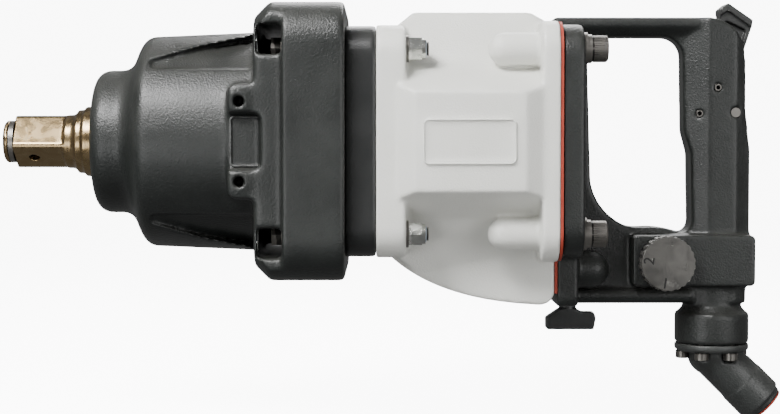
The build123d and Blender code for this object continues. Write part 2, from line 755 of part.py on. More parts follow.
with BuildPart() as rear_end_plate:
    rings(rear_end_plate_x, rear_end_plate_thickness, motor_bore_radius, rear_bearing_bore + 1.0)
    rods(rear_race_x, rear_bearing_width + 1, rear_bearing_radius + press_play, mode=Mode.SUBTRACT)
    with BuildSketch(Plane.YZ.offset(rear_end_plate_x)):
        with PolarLocations(liner_bore_radius - 6, 5, start_angle=20, angular_range=140):
            SlotOverall(12, 4)
    extrude(amount=rear_end_plate_thickness, mode=Mode.SUBTRACT)
rear_end_plate.part.label = "rear_end_plate"
export_step(rear_end_plate.part, "parts/rear_end_plate.step")

bearings = (
    (
        "front", front_race_x, front_bearing_width, front_bearing_bore, front_bearing_radius,
        front_ball_radius, front_ball_count,
    ),
    (
        "rear", rear_race_x, rear_bearing_width, rear_bearing_bore, rear_bearing_radius,
        rear_ball_radius, rear_ball_count,
    ),
)
for end, race_x, race_width, bore, outside, ball_radius, ball_count in bearings:
    pitch = (bore + outside) / 2
    with BuildPart() as outer_race:
        rings(race_x, race_width, outside, pitch + ball_radius + ball_play)
    outer_race.part.label = f"{end}_bearing_outer_race"
    export_step(outer_race.part, f"parts/{end}_bearing_outer_race.step")
    with BuildPart() as inner_race:
        rings(race_x + 0.2, race_width - 0.4, pitch - ball_radius - ball_play, bore + press_play)
    inner_race.part.label = f"{end}_bearing_inner_race"
    export_step(inner_race.part, f"parts/{end}_bearing_inner_race.step")
    with BuildPart() as balls:
        with Locations(Plane.YZ.offset(race_x + race_width / 2)):
            with PolarLocations(pitch, ball_count):
                Sphere(ball_radius)
    balls.part.label = f"{end}_bearing_balls"
    export_step(balls.part, f"parts/{end}_bearing_balls.step")

with BuildPart() as cylinder_liner:
    rods(liner_x, rear_end_plate_x - liner_x, motor_bore_radius)
    rods(liner_x - 1, rear_end_plate_x - liner_x + 2, liner_bore_radius, ((0, liner_offset),), Mode.SUBTRACT)
    with BuildSketch(Plane.XY.offset(-motor_bore_radius - 1)):
        with Locations(((liner_x + rear_end_plate_x) / 2, 0)):
            with GridLocations(14, 0, 4, 1):
                SlotOverall(26, 6, rotation=90)
    extrude(amount=motor_bore_radius - liner_bore_radius + liner_offset + 14, mode=Mode.SUBTRACT)
cylinder_liner.part.label = "cylinder_liner"
export_step(cylinder_liner.part, "parts/cylinder_liner.step")

with BuildPart() as rotor:
    rods(rotor_front_x, rotor_back_x - rotor_front_x, rotor_radius)
    hexes(anvil_tail_end_x + 1, motor_x - anvil_tail_end_x, hex_across_flats)
    rods(front_race_x, rotor_front_x - front_race_x, front_bearing_bore)
    rods(rotor_back_x, shaft_end_x - rotor_back_x, rear_bearing_bore)
    with BuildSketch(Plane.YZ.offset(rotor_front_x)):
        with PolarLocations(rotor_radius - vane_slot_depth / 2 + 1, vane_count):
            Rectangle(vane_slot_depth + 2, vane_slot_width)
    extrude(amount=rotor_back_x - rotor_front_x, mode=Mode.SUBTRACT)
    with BuildSketch(Plane.YZ.offset(circlip_x - 0.05)):
        Circle(rear_bearing_bore + 1)
        Circle(rear_bearing_bore - 0.8, mode=Mode.SUBTRACT)
    extrude(amount=circlip_thickness + 0.1, mode=Mode.SUBTRACT)
rotor.part.label = "rotor"
export_step(rotor.part, "parts/rotor.step")

with BuildPart() as rotor_vanes:
    with BuildSketch(Plane.YZ.offset(rotor_front_x)):
        with PolarLocations(rotor_radius - vane_slot_depth / 2 + 0.4, vane_count):
            Rectangle(vane_slot_depth - 1.2, vane_slot_width - 2 * vane_play)
    extrude(amount=rotor_back_x - rotor_front_x)
rotor_vanes.part.label = "rotor_vanes"
export_step(rotor_vanes.part, "parts/rotor_vanes.step")

with BuildPart() as rotor_circlip:
    with BuildSketch(Plane.YZ.offset(circlip_x)):
        Circle(rear_bearing_bore + 2.2)
        Circle(rear_bearing_bore - 0.7, mode=Mode.SUBTRACT)
        with Locations((rear_bearing_bore, 0)):
            Rectangle(8, 4, mode=Mode.SUBTRACT)
    extrude(amount=circlip_thickness)
rotor_circlip.part.label = "rotor_circlip"
export_step(rotor_circlip.part, "parts/rotor_circlip.step")

# ================= gasket =================
with BuildPart() as handle_gasket:
    with BuildSketch(Plane.YZ.offset(motor_end_x)):
        RectangleRounded(
            2 * housing_rear_flange_half - 1, 2 * housing_rear_flange_half - 1, housing_corner_radius,
        )
        with Locations((0, (plate_tail_z + 2) / 2)):
            Rectangle(2 * plate_tail_half_width, -plate_tail_z - 2)
        Circle(gasket_bore_radius, mode=Mode.SUBTRACT)
        with Locations(*fastener_places):
            Circle(screw_radius + bolt_play, mode=Mode.SUBTRACT)
        with Locations(*port_places):
            Circle(air_bore_radius, mode=Mode.SUBTRACT)
    extrude(amount=gasket_thickness)
handle_gasket.part.label = "handle_gasket"
export_step(handle_gasket.part, "parts/handle_gasket.step")

# ================= handle casting =================
arm_corner = grip_reach - handle_round - 1.0
slot_back_x = trigger_pivot_x - 8.2
slot_floor_z = trigger_pivot_z - trigger_boss_radius - 1.7
slot_top_x = trigger_pivot_x - 24.3
slot_top_z = 90.0
cap_slot_z = 65.0
inner_web_half_width = 9.5
with BuildPart() as handle_frame:
    # grip of eight-sided section
    half_section = [
        (62, inner_web_half_width), (69, inner_web_half_width), (84, grip_half_width),
        (grip_reach - 7, grip_half_width), (grip_reach + 2, grip_half_width - 6),
        (grip_reach + 12, grip_half_width - 6),
    ]
    with BuildSketch(Plane((rear_x, 0, lower_bar_z))):
        Polygon(*half_section, *[(x, -y) for x, y in reversed(half_section)], align=None)
    extrude(amount=arm_top_z - lower_bar_z)
    # top arm, wider at its top
    with BuildSketch(Plane.YZ.offset(handle_x)):
        Polygon(
            (-arm_half_width, 72.5), (-arm_half_width, 76.3), (-arm_half_width + 2, arm_top_z),
            (arm_half_width - 2, arm_top_z), (arm_half_width, 76.3), (arm_half_width, 72.5),
            (inner_web_half_width, arm_under_z), (inner_web_half_width, 60),
            (-inner_web_half_width, 60), (-inner_web_half_width, arm_under_z), align=None,
        )
    extrude(amount=handle_plate_thickness + grip_reach - 20)
    # web that joins the arms to the mounting plate
    with BuildSketch(Plane.XZ):
        Polygon(
            (handle_x, arm_top_z), (grip_outer_x - 20, arm_top_z), (grip_outer_x - 20, lower_bar_z),
            (handle_x, lower_bar_z), align=None,
        )
    extrude(amount=inner_web_half_width, both=True)
    # outline of the D, seen from the side
    corner_z = arm_top_z - handle_round - 1
    with BuildSketch(handle_side):
        with BuildLine():
            Polyline(
                (-handle_plate_thickness, lower_bar_z), (-handle_plate_thickness, arm_top_z),
                (arm_corner, arm_top_z),
            )
            RadiusArc((arm_corner, arm_top_z), (grip_reach, corner_z), handle_round + 1)
            Polyline(
                (grip_reach, corner_z), (grip_reach, 20), (grip_reach + 3.3, -5), (grip_reach + 3.3, -90),
                (grip_reach + 1, -93), (grip_reach + 1, inlet_boss_top_z - 1),
                (inlet_reach - inlet_boss_radius, inlet_boss_top_z - 1),
                (inlet_reach - inlet_boss_radius - 3, lower_bar_z), (-handle_plate_thickness, lower_bar_z),
            )
        make_face()
        with BuildLine():
            Polyline((8, 60), (8, arm_under_z), (56, arm_under_z))
            RadiusArc((56, arm_under_z), (68.5, arm_under_z - 12), 12.4)
            Polyline((68.5, arm_under_z - 12), (69.3, 7), (73.5, -7), (74.4, -50))
            RadiusArc((74.4, -50), (68, -57.5), 7)
            Spline((68, -57.5), (60, -55.4), (48, -54), (36, -54), (26, -49.5), (16.5, -40), (10.5, -24))
            Line((10.5, -24), (8, 60))
        make_face(mode=Mode.SUBTRACT)
    extrude(amount=60, both=True, mode=Mode.INTERSECT)

stem_bore_radius = reverse_spool_radius + running_fit
with BuildPart() as handle:
    with BuildSketch(Plane.YZ.offset(handle_x)):
        RectangleRounded(2 * handle_plate_half, 2 * handle_plate_half, handle_plate_corner_radius)
    extrude(amount=handle_plate_thickness)
    with BuildSketch(Plane.YZ.offset(handle_x)):
        with Locations((0, (lower_bar_z - 20) / 2)):
            RectangleRounded(2 * plate_tail_half_width, -lower_bar_z - 20, 5)
    extrude(amount=handle_plate_thickness)
    chamfer(handle.edges().group_by(Axis.X)[-1], 1.2)
    add(handle_frame.part)
    with BuildSketch(Plane.XZ):
        with Locations(((block_front_x + block_back_x) / 2, (block_top_z + block_bottom_z) / 2)):
            RectangleRounded(block_back_x - block_front_x, block_top_z - block_bottom_z, 2)
    extrude(amount=block_half_width, both=True)
    with BuildSketch(Plane.YZ.offset(handle_x)):
        with Locations((0, (lower_bar_z + lower_bar_top_z) / 2)):
            RectangleRounded(2 * arm_half_width, lower_bar_top_z - lower_bar_z, 4)
    extrude(amount=inlet_x - 15 - handle_x)
    for y, z in port_places:
        with BuildSketch(Plane.YZ.offset(handle_x)):
            with Locations((y, z)):
                Circle(passage_radius)
        extrude(amount=handle_plate_thickness + 9)
        with Locations((rear_x + 9, y, z)):
            Sphere(passage_radius)
    with BuildSketch(Plane.XY.offset(inlet_boss_bottom_z)):
        with Locations((inlet_x, 0)):
            Circle(inlet_boss_radius)
    extrude(amount=inlet_boss_top_z - inlet_boss_bottom_z - 4)
    with Locations((inlet_x, 0, inlet_boss_top_z - 2)):
        Cone(inlet_boss_radius, 17, 8, align=(Align.CENTER, Align.CENTER, Align.CENTER))
    with BuildSketch(Plane.XY.offset(block_bottom_z + 1)):
        with Locations((inlet_x, 0)):
            Circle(18)
    extrude(amount=inlet_boss_top_z - block_bottom_z - 4)
    # clearance for the end of the rotor shaft, and the screw holes
    rods(handle_x - 1, 7, rear_bearing_bore + 6, mode=Mode.SUBTRACT)
    rods(handle_x - 1, handle_plate_thickness + 2, screw_radius + bolt_play, fastener_places, Mode.SUBTRACT)
    # trigger slot
    with BuildSketch(Plane.XZ):
        Polygon(
            (slot_back_x, slot_floor_z), (slot_back_x, trigger_pivot_z), (slot_top_x, slot_top_z),
            (grip_outer_x + 20, slot_top_z), (grip_outer_x + 20, slot_floor_z), align=None,
        )
    extrude(amount=trigger_half_width + trigger_slot_play, both=True, mode=Mode.SUBTRACT)
    with BuildSketch(Plane.XZ):
        Polygon(
            (slot_top_x + 4, cap_slot_z), (slot_top_x, slot_top_z), (grip_outer_x + 20, slot_top_z),
            (grip_outer_x + 20, cap_slot_z - 22), (grip_outer_x - 4, cap_slot_z - 22), align=None,
        )
    extrude(amount=trigger_cap_half_width + trigger_slot_play, both=True, mode=Mode.SUBTRACT)
    with BuildSketch(Plane.XZ):
        with Locations((trigger_pivot_x, trigger_pivot_z)):
            Circle(trigger_pin_radius + press_play)
    extrude(amount=grip_half_width + 1, both=True, mode=Mode.SUBTRACT)
    # throttle bore and the air passages of the grip
    rods(
        throttle_chamber_x, slot_back_x - throttle_chamber_x, throttle_bore_radius + press_play,
        ((0, throttle_z),), Mode.SUBTRACT,
    )
    with BuildSketch(Plane.XY.offset(inlet_boss_bottom_z - 1)):
        with Locations((inlet_x, 0)):
            Circle(air_bore_radius)
    extrude(amount=-inlet_boss_bottom_z - 5, mode=Mode.SUBTRACT)
    with BuildSketch(Plane((inlet_x, 0, -12), z_dir=(throttle_chamber_x + 4.5 - inlet_x, 0, 26))):
        Circle(3.5)
    extrude(amount=32, mode=Mode.SUBTRACT)
    with BuildSketch(Plane.XY.offset(14)):
        with Locations((throttle_chamber_x + 4.5, 0)):
            Circle(3.5)
    extrude(amount=throttle_z - 14, mode=Mode.SUBTRACT)
    with BuildSketch(Plane.XY.offset(dial_z)):
        with Locations((inlet_x - 8.5, 10.5)):
            Circle(3.5)
    extrude(amount=throttle_z - dial_z, mode=Mode.SUBTRACT)
    rods(dial_x, 25, 3.5, ((10.5, dial_z),), Mode.SUBTRACT)
    rods(reverse_x, dial_x - reverse_x, 4.5, ((0, dial_z),), Mode.SUBTRACT)
    rods(handle_x - 1, handle_plate_thickness + 8, air_bore_radius, port_places, Mode.SUBTRACT)
    with BuildSketch(Plane.XZ):
        with Locations((reverse_x, passage_z)):
            Circle(4)
    extrude(amount=passage_y, both=True, mode=Mode.SUBTRACT)
    # bores of the regulator and reverse spools
    with BuildSketch(Plane.XZ.offset(block_half_width + 1)):
        with Locations((dial_x, dial_z)):
            Circle(spool_radius + running_fit)
    extrude(amount=-spool_length - 1, mode=Mode.SUBTRACT)
    with BuildSketch(Plane.XZ.offset(block_half_width + 1)):
        with Locations((dial_x, dial_z + detent_radius)):
            Circle(detent_ball_radius + running_fit)
    extrude(amount=-13, mode=Mode.SUBTRACT)
    with BuildSketch(Plane.XY.offset(lower_bar_z - 1)):
        with Locations((reverse_x, 0)):
            Circle(stem_bore_radius)
    extrude(amount=reverse_spool_top_z - lower_bar_z + 1.5, mode=Mode.SUBTRACT)
    # screw holes of the inlet elbow and holes of the grip's cross pins
    elbow_screw_places = [
        (inlet_x + elbow_screw_circle * cos(radians(60 * i)), elbow_screw_circle * sin(radians(60 * i)))
        for i in range(6)
    ]
    with BuildSketch(Plane.XY.offset(inlet_boss_bottom_z - 1)):
        with Locations(*elbow_screw_places):
            Circle(elbow_screw_radius + thread_play)
    extrude(amount=15, mode=Mode.SUBTRACT)
    for pin_x, pin_z, inner_y, outer_y in grip_pin_places:
        for side in (-1, 1):
            with BuildSketch(Plane.XZ.offset(side * inner_y)):
                with Locations((rear_x + pin_x, pin_z)):
                    Circle(grip_pin_radius + press_play)
            extrude(amount=side * grip_half_width, mode=Mode.SUBTRACT)
handle.part.label = "handle"
export_step(handle.part, "parts/handle.step")

# ================= handle screws =================
screw_seat_x = rear_x
screw_head_x = screw_seat_x + flat_washer_thickness + spring_washer_thickness
with BuildPart() as handle_screws:
    rods(screw_head_x, screw_head_height, screw_head_radius, fastener_places)
    chamfer(handle_screws.edges().group_by(Axis.X)[-1], 0.8)
    rods(motor_end_x - screw_grip, screw_head_x - motor_end_x + screw_grip, screw_radius, fastener_places)
    hexes(screw_head_x + screw_head_height - 5, 6, screw_socket_flats, fastener_places, Mode.SUBTRACT)
handle_screws.part.label = "handle_screws"
export_step(handle_screws.part, "parts/handle_screws.step")

with BuildPart() as handle_flat_washers:
    rings(screw_seat_x, flat_washer_thickness, flat_washer_radius, screw_radius + press_play, fastener_places)
handle_flat_washers.part.label = "handle_flat_washers"
export_step(handle_flat_washers.part, "parts/handle_flat_washers.step")

with BuildPart() as handle_spring_washers:
    rings(
        screw_seat_x + flat_washer_thickness, spring_washer_thickness, spring_washer_radius,
        screw_radius + press_play, fastener_places,
    )
    with BuildSketch(Plane.YZ.offset(screw_seat_x + flat_washer_thickness)):
        with Locations(*[(y + spring_washer_radius, z) for y, z in fastener_places]):
            Rectangle(spring_washer_radius, 0.8, rotation=-20)
    extrude(amount=spring_washer_thickness, mode=Mode.SUBTRACT)
handle_spring_washers.part.label = "handle_spring_washers"
export_step(handle_spring_washers.part, "parts/handle_spring_washers.step")

# ================= trigger =================
trigger_side = Plane((trigger_pivot_x, 0, trigger_pivot_z), x_dir=(1, 0, 0), z_dir=(0, -1, 0))
cap_outer = [(-8.8, 65.7), (-3.8, 69.7), (12.2, 58.7), (11.6, 53.3)]
with BuildPart() as trigger_lever:
    with BuildSketch(trigger_side):
        Polygon(
            (-trigger_boss_radius, 0), (-8.6, 55.7), *cap_outer, (6.5, 37.7), (trigger_boss_radius, 0),
            align=None,
        )
        Circle(trigger_boss_radius)
    extrude(amount=trigger_half_width, both=True)
    # sunk panels on both sides leave a rim round the lever
    for side in (-1, 1):
        with BuildSketch(trigger_side.offset(side * trigger_half_width)):
            Polygon((-4.2, 13.7), (-5.4, 58.2), (7.5, 52.2), (4, 36.7), (4, 13.7), align=None)
        extrude(amount=-side * 2.5, mode=Mode.SUBTRACT)
    # cap that the palm presses
    with BuildSketch(trigger_side):
        Polygon((-8.7, 61.2), *cap_outer, (-4, 64.3), align=None)
    extrude(amount=trigger_cap_half_width - 1, both=True)
    with BuildSketch(trigger_side):
        Circle(trigger_pin_radius + running_fit)
    extrude(amount=trigger_half_width + 1, both=True, mode=Mode.SUBTRACT)
trigger_lever.part.label = "trigger_lever"
export_step(trigger_lever.part, "parts/trigger_lever.step")

pin_wall_y = 13.6
with BuildPart() as trigger_pin:
    with BuildSketch(Plane.XZ):
        with Locations((trigger_pivot_x, trigger_pivot_z)):
            Circle(trigger_pin_radius)
    extrude(amount=pin_wall_y + 3, both=True)
trigger_pin.part.label = "trigger_pin"
export_step(trigger_pin.part, "parts/trigger_pin.step")

with BuildPart() as grip_pins:
    for pin_x, pin_z, inner_y, outer_y in grip_pin_places:
        for side in (-1, 1):
            with BuildSketch(Plane.XZ.offset(side * inner_y)):
                with Locations((rear_x + pin_x, pin_z)):
                    Circle(grip_pin_radius)
            extrude(amount=side * (outer_y - inner_y))
grip_pins.part.label = "grip_pins"
export_step(grip_pins.part, "parts/grip_pins.step")

# ================= throttle valve =================
seat_x = stem_end_x + poppet_thickness
bush_x = seat_x + seat_thickness
spring_bore_radius = spring_radius + 0.2
with BuildPart() as throttle_stem:
    rods(stem_end_x, poppet_thickness, poppet_radius, ((0, throttle_z),))
    rods(stem_end_x, stem_tip_x - stem_end_x, stem_radius, ((0, throttle_z),))
    chamfer(throttle_stem.edges().group_by(Axis.X)[-1], 2.2)
    rods(
        stem_end_x - 1, throttle_chamber_x + spring_length - stem_end_x + 1, spring_bore_radius,
        ((0, throttle_z),), Mode.SUBTRACT,
    )
throttle_stem.part.label = "throttle_stem"
export_step(throttle_stem.part, "parts/throttle_stem.step")

with BuildPart() as throttle_seat:
    rings(seat_x, seat_thickness, throttle_bore_radius, stem_radius + 1.2, ((0, throttle_z),))
throttle_seat.part.label = "throttle_seat"
export_step(throttle_seat.part, "parts/throttle_seat.step")

with BuildPart() as throttle_bush:
    rings(bush_x, bush_length, throttle_bore_radius, stem_radius + running_fit, ((0, throttle_z),))
throttle_bush.part.label = "throttle_bush"
export_step(throttle_bush.part, "parts/throttle_bush.step")


with BuildPart() as throttle_spring:
    rings(
        throttle_chamber_x + spring_end_gap, spring_length - 2 * spring_end_gap,
        spring_radius, spring_radius - spring_wire_width, ((0, throttle_z),),
    )
throttle_spring.part.label = "throttle_spring"
export_step(throttle_spring.part, "parts/throttle_spring.step")

# ================= air regulator =================
dial_back_y = -block_half_width - dial_gap
with BuildPart() as regulator_dial:
    with BuildSketch(Plane.XZ.offset(-dial_back_y)):
        with Locations((dial_x, dial_z)):
            Circle(dial_radius)
            with PolarLocations(dial_radius + 1.4, 24):
                Circle(2.0, mode=Mode.SUBTRACT)
    extrude(amount=dial_thickness - 1.5)
    with BuildSketch(Plane.XZ.offset(-dial_back_y)):
        with Locations((dial_x, dial_z)):
            Circle(dial_radius - 0.8)
    extrude(amount=dial_thickness)
regulator_dial.part.label = "regulator_dial"
export_step(regulator_dial.part, "parts/regulator_dial.step")

with BuildPart() as regulator_spool:
    with BuildSketch(Plane.XZ.offset(-dial_back_y)):
        with Locations((dial_x, dial_z)):
            Circle(spool_radius)
    extrude(amount=-spool_length - 0.5)
    # slanted throat that meters the air
    with BuildSketch(Plane.XZ.offset(-2)):
        with Locations((dial_x, dial_z + spool_radius / 2)):
            Rectangle(3 * spool_radius, spool_radius)
    extrude(amount=9, both=True, mode=Mode.SUBTRACT)
regulator_spool.part.label = "regulator_spool"
export_step(regulator_spool.part, "parts/regulator_spool.step")

detent_x = dial_x
detent_z = dial_z + detent_radius
ball_depth = 0.3
with BuildPart() as regulator_detent_ball:
    with Locations((detent_x, -block_half_width + ball_depth + detent_ball_radius, detent_z)):
        Sphere(detent_ball_radius)
regulator_detent_ball.part.label = "regulator_detent_ball"
export_step(regulator_detent_ball.part, "parts/regulator_detent_ball.step")

with BuildPart() as regulator_detent_spring:
    with BuildSketch(Plane.XZ.offset(block_half_width - ball_depth - 2 * detent_ball_radius)):
        with Locations((detent_x, detent_z)):
            Circle(detent_ball_radius - 0.15)
            Circle(detent_ball_radius - 0.6, mode=Mode.SUBTRACT)
    extrude(amount=-8.4)
regulator_detent_spring.part.label = "regulator_detent_spring"
export_step(regulator_detent_spring.part, "parts/regulator_detent_spring.step")

# ================= reverse valve =================
with BuildPart() as reverse_spool:
    with BuildSketch(Plane.XY.offset(lower_bar_z)):
        with Locations((reverse_x, 0)):
            Circle(reverse_spool_radius)
    extrude(amount=reverse_spool_top_z - lower_bar_z)
    # cross ports that swap the two air passages
    with BuildSketch(Plane.XZ):
        with Locations((reverse_x, passage_z)):
            Circle(3.2)
    extrude(amount=reverse_spool_radius + 1, both=True, mode=Mode.SUBTRACT)
reverse_spool.part.label = "reverse_spool"
export_step(reverse_spool.part, "parts/reverse_spool.step")

ridge_z = (reverse_bar_top_z + reverse_bar_bottom_z) / 2 + 1
with BuildPart() as reverse_lever:
    with BuildSketch(Plane.XZ):
        Polygon(
            (reverse_x - 5.5, lower_bar_z), (reverse_x - 5.5, reverse_bar_top_z),
            (reverse_x - reverse_bar_front, ridge_z),
            (reverse_x - reverse_bar_front, reverse_bar_bottom_z + 1),
            (reverse_x - reverse_bar_front + 1, reverse_bar_bottom_z),
            (reverse_x + reverse_bar_back - 1.5, reverse_bar_bottom_z),
            (reverse_x + reverse_bar_back, ridge_z),
            (reverse_x + reverse_bar_back - 1.5, ridge_z + 3.5), (reverse_x + 9, ridge_z + 3.5),
            (reverse_x + 5.5, reverse_bar_top_z), (reverse_x + 5.5, lower_bar_z), align=None,
        )
    extrude(amount=reverse_bar_half_width, both=True)
    with BuildSketch(Plane.XY.offset(reverse_bar_top_z)):
        with Locations((reverse_x, 0)):
            Circle(reverse_stem_radius)
    extrude(amount=lower_bar_z - reverse_bar_top_z)
    with BuildSketch(Plane.XY.offset(reverse_bar_top_z)):
        with Locations((reverse_x, 0)):
            Rectangle(4 * reverse_stem_radius, 4 * reverse_stem_radius)
            Circle(reverse_stem_radius, mode=Mode.SUBTRACT)
    extrude(amount=lower_bar_z - reverse_bar_top_z, mode=Mode.SUBTRACT)
reverse_lever.part.label = "reverse_lever"
export_step(reverse_lever.part, "parts/reverse_lever.step")

# ================= inlet elbow =================
elbow_plane = Plane((inlet_x, 0, elbow_z - 1), x_dir=(0, 1, 0), z_dir=(1, 0, -1))
with BuildPart() as inlet_elbow:
    with BuildSketch(Plane.XY.offset(elbow_z)):
        with Locations((inlet_x, 0)):
            Circle(inlet_boss_radius)
    extrude(amount=elbow_flange_thickness)
    chamfer(inlet_elbow.edges().group_by(Axis.Z)[0], 1.5)
    with BuildSketch(elbow_plane):
        Circle(elbow_tube_radius)
    extrude(amount=elbow_reach - 6)
    with BuildSketch(elbow_plane.offset(27)):
        Circle(elbow_collar_radius)
    extrude(amount=elbow_reach - 27 - 3.6)
    with BuildSketch(elbow_plane.offset(27)):
        Circle(elbow_ring_radius)
    extrude(amount=elbow_reach - 27)
    with Locations((inlet_x, 0, elbow_z - 1)):
        Sphere(elbow_ball_radius)
    with BuildSketch(Plane.XY.offset(inlet_boss_bottom_z)):
        with Locations((inlet_x, 0)):
            Circle(2 * inlet_boss_radius)
    extrude(amount=2 * inlet_boss_radius, mode=Mode.SUBTRACT)
    with BuildSketch(Plane.XY.offset(inlet_boss_bottom_z + 1)):
        with Locations(*elbow_screw_places):
            Circle(elbow_screw_radius + bolt_play)
    extrude(amount=-elbow_flange_thickness - 2, mode=Mode.SUBTRACT)
    with BuildSketch(Plane.XY.offset(elbow_z)):
        with Locations(*elbow_screw_places):
            Circle(elbow_screw_head_radius + 0.6)
    extrude(amount=-elbow_screw_head_height - 1.5, mode=Mode.SUBTRACT)
    with BuildSketch(Plane.XY.offset(inlet_boss_bottom_z + 1)):
        with Locations((inlet_x, 0)):
            Circle(elbow_bore_radius)
    extrude(amount=-elbow_flange_thickness - 2, mode=Mode.SUBTRACT)
    with Locations((inlet_x, 0, elbow_z - 1)):
        Sphere(elbow_bore_radius, mode=Mode.SUBTRACT)
    with BuildSketch(elbow_plane):
        Circle(elbow_bore_radius)
    extrude(amount=elbow_reach + 1, mode=Mode.SUBTRACT)
    with BuildSketch(elbow_plane.offset(elbow_reach - elbow_thread_length)):
        Circle(elbow_thread_radius)
    extrude(amount=elbow_thread_length + 1, mode=Mode.SUBTRACT)
    with BuildSketch(elbow_plane.offset(elbow_reach - elbow_thread_length - strainer_thickness)):
        Circle(strainer_radius + press_play)
    extrude(amount=strainer_thickness + 1, mode=Mode.SUBTRACT)
inlet_elbow.part.label = "inlet_elbow"
export_step(inlet_elbow.part, "parts/inlet_elbow.step")

with BuildPart() as elbow_screws:
    with BuildSketch(Plane.XY.offset(elbow_z)):
        with Locations(*elbow_screw_places):
            Circle(elbow_screw_head_radius)
    extrude(amount=-elbow_screw_head_height)
    chamfer(elbow_screws.edges().group_by(Axis.Z)[0], 0.5)
    with BuildSketch(Plane.XY.offset(elbow_z)):
        with Locations(*elbow_screw_places):
            Circle(elbow_screw_radius)
    extrude(amount=elbow_flange_thickness + 12)
    with BuildSketch(Plane.XY.offset(elbow_z - elbow_screw_head_height)):
        with Locations(*elbow_screw_places):
            RegularPolygon(2.0, 6, major_radius=False)
    extrude(amount=3, mode=Mode.SUBTRACT)
elbow_screws.part.label = "elbow_screws"
export_step(elbow_screws.part, "parts/elbow_screws.step")

with BuildPart() as inlet_seal_ring:
    with BuildSketch(elbow_plane.offset(elbow_reach)):
        Circle(elbow_ring_radius - 0.7)
        Circle(elbow_thread_radius + 0.6, mode=Mode.SUBTRACT)
    extrude(amount=1.2)
inlet_seal_ring.part.label = "inlet_seal_ring"
export_step(inlet_seal_ring.part, "parts/inlet_seal_ring.step")

with BuildPart() as inlet_strainer:
    with BuildSketch(elbow_plane.offset(elbow_reach - elbow_thread_length - strainer_thickness)):
        Circle(strainer_radius)
        with GridLocations(3.2, 3.2, 5, 5):
            Circle(1.1, mode=Mode.SUBTRACT)
        Circle(strainer_radius, mode=Mode.INTERSECT)
    extrude(amount=strainer_thickness)
inlet_strainer.part.label = "inlet_strainer"
export_step(inlet_strainer.part, "parts/inlet_strainer.step")
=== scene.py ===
# One-inch air impact wrench with a D-handle: cast skins, small details and finishes round the CAD frame.
import bpy
import json
import numpy as np
from math import cos, pi, radians, sin
from mathutils import Matrix, Vector


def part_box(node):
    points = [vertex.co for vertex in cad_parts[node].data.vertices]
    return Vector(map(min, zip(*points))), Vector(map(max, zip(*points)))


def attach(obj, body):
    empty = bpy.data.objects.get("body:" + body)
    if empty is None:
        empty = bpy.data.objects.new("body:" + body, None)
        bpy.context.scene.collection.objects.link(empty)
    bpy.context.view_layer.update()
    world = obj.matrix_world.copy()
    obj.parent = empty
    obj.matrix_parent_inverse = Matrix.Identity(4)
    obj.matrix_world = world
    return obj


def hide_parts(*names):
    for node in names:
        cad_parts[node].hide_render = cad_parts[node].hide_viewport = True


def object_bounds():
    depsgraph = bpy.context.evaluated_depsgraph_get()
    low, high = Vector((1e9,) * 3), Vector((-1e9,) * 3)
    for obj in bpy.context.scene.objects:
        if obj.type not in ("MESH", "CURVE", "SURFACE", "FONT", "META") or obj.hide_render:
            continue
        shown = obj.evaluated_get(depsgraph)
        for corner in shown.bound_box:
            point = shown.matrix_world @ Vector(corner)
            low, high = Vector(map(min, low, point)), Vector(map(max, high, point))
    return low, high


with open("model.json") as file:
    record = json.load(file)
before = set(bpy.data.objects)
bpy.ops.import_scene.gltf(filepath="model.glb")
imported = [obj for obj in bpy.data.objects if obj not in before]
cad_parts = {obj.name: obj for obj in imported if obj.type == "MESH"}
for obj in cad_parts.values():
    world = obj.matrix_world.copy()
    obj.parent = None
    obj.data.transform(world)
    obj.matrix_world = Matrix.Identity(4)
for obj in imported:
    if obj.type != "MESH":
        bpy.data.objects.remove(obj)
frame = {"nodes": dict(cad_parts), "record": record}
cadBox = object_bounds()
slotOf = {part["node"]: part["material_slot"] for part in frame["record"]["subparts"]}
bodies = frame["record"]["behaviour"]["bodies"]
bodyOf = {node: body for body, group in bodies.items() for node in group}
print("frame loaded:", len(frame["nodes"]), "nodes")

# ---------- camera, light and floor ----------
stageSettings = {
    "cameraPlace": (0.2193, -1.080, 0.0),
    "cameraAim": (0.2253, 0.0, -0.0418),
    "lensMm": 78.0,
    "sensorMm": 36.0,
    "roomLight": 0.22,
    "paperGlow": 9.0,
    "paperTone": 0.9,
    "floorReach": 3.0,
    "floorGap": 0.002,
    "lampFlatness": 0.6,
    # Each lamp: its offset from the middle of the tool, its width and its power.
    "lamps": {
        "keyLight": ((-0.55, -0.75, 0.95), 0.7, 38.0),
        "fillLight": ((0.8, -0.9, 0.1), 0.8, 5.0),
        "lowLight": ((-0.5, -0.8, -0.12), 0.5, 2.6),
        "rimLight": ((0.2, 0.8, 0.8), 0.8, 12.0),
    },
}


def addAreaLight(name, place, aim, width, height, power):
    lightData = bpy.data.lights.new(name, "AREA")
    lightData.shape = "RECTANGLE"
    lightData.size = width
    lightData.size_y = height
    lightData.energy = power
    light = bpy.data.objects.new(name, lightData)
    bpy.context.scene.collection.objects.link(light)
    light.location = place
    light.rotation_euler = (Vector(aim) - Vector(place)).to_track_quat("-Z", "Y").to_euler()


def placeCamera(settings):
    cameraData = bpy.data.cameras.new("viewCamera")
    cameraData.sensor_width = settings["sensorMm"]
    cameraData.lens = settings["lensMm"]
    camera = bpy.data.objects.new("viewCamera", cameraData)
    bpy.context.scene.collection.objects.link(camera)
    camera.location = settings["cameraPlace"]
    aim = Vector(settings["cameraAim"]) - camera.location
    camera.rotation_euler = aim.to_track_quat("-Z", "Y").to_euler()
    bpy.context.scene.camera = camera


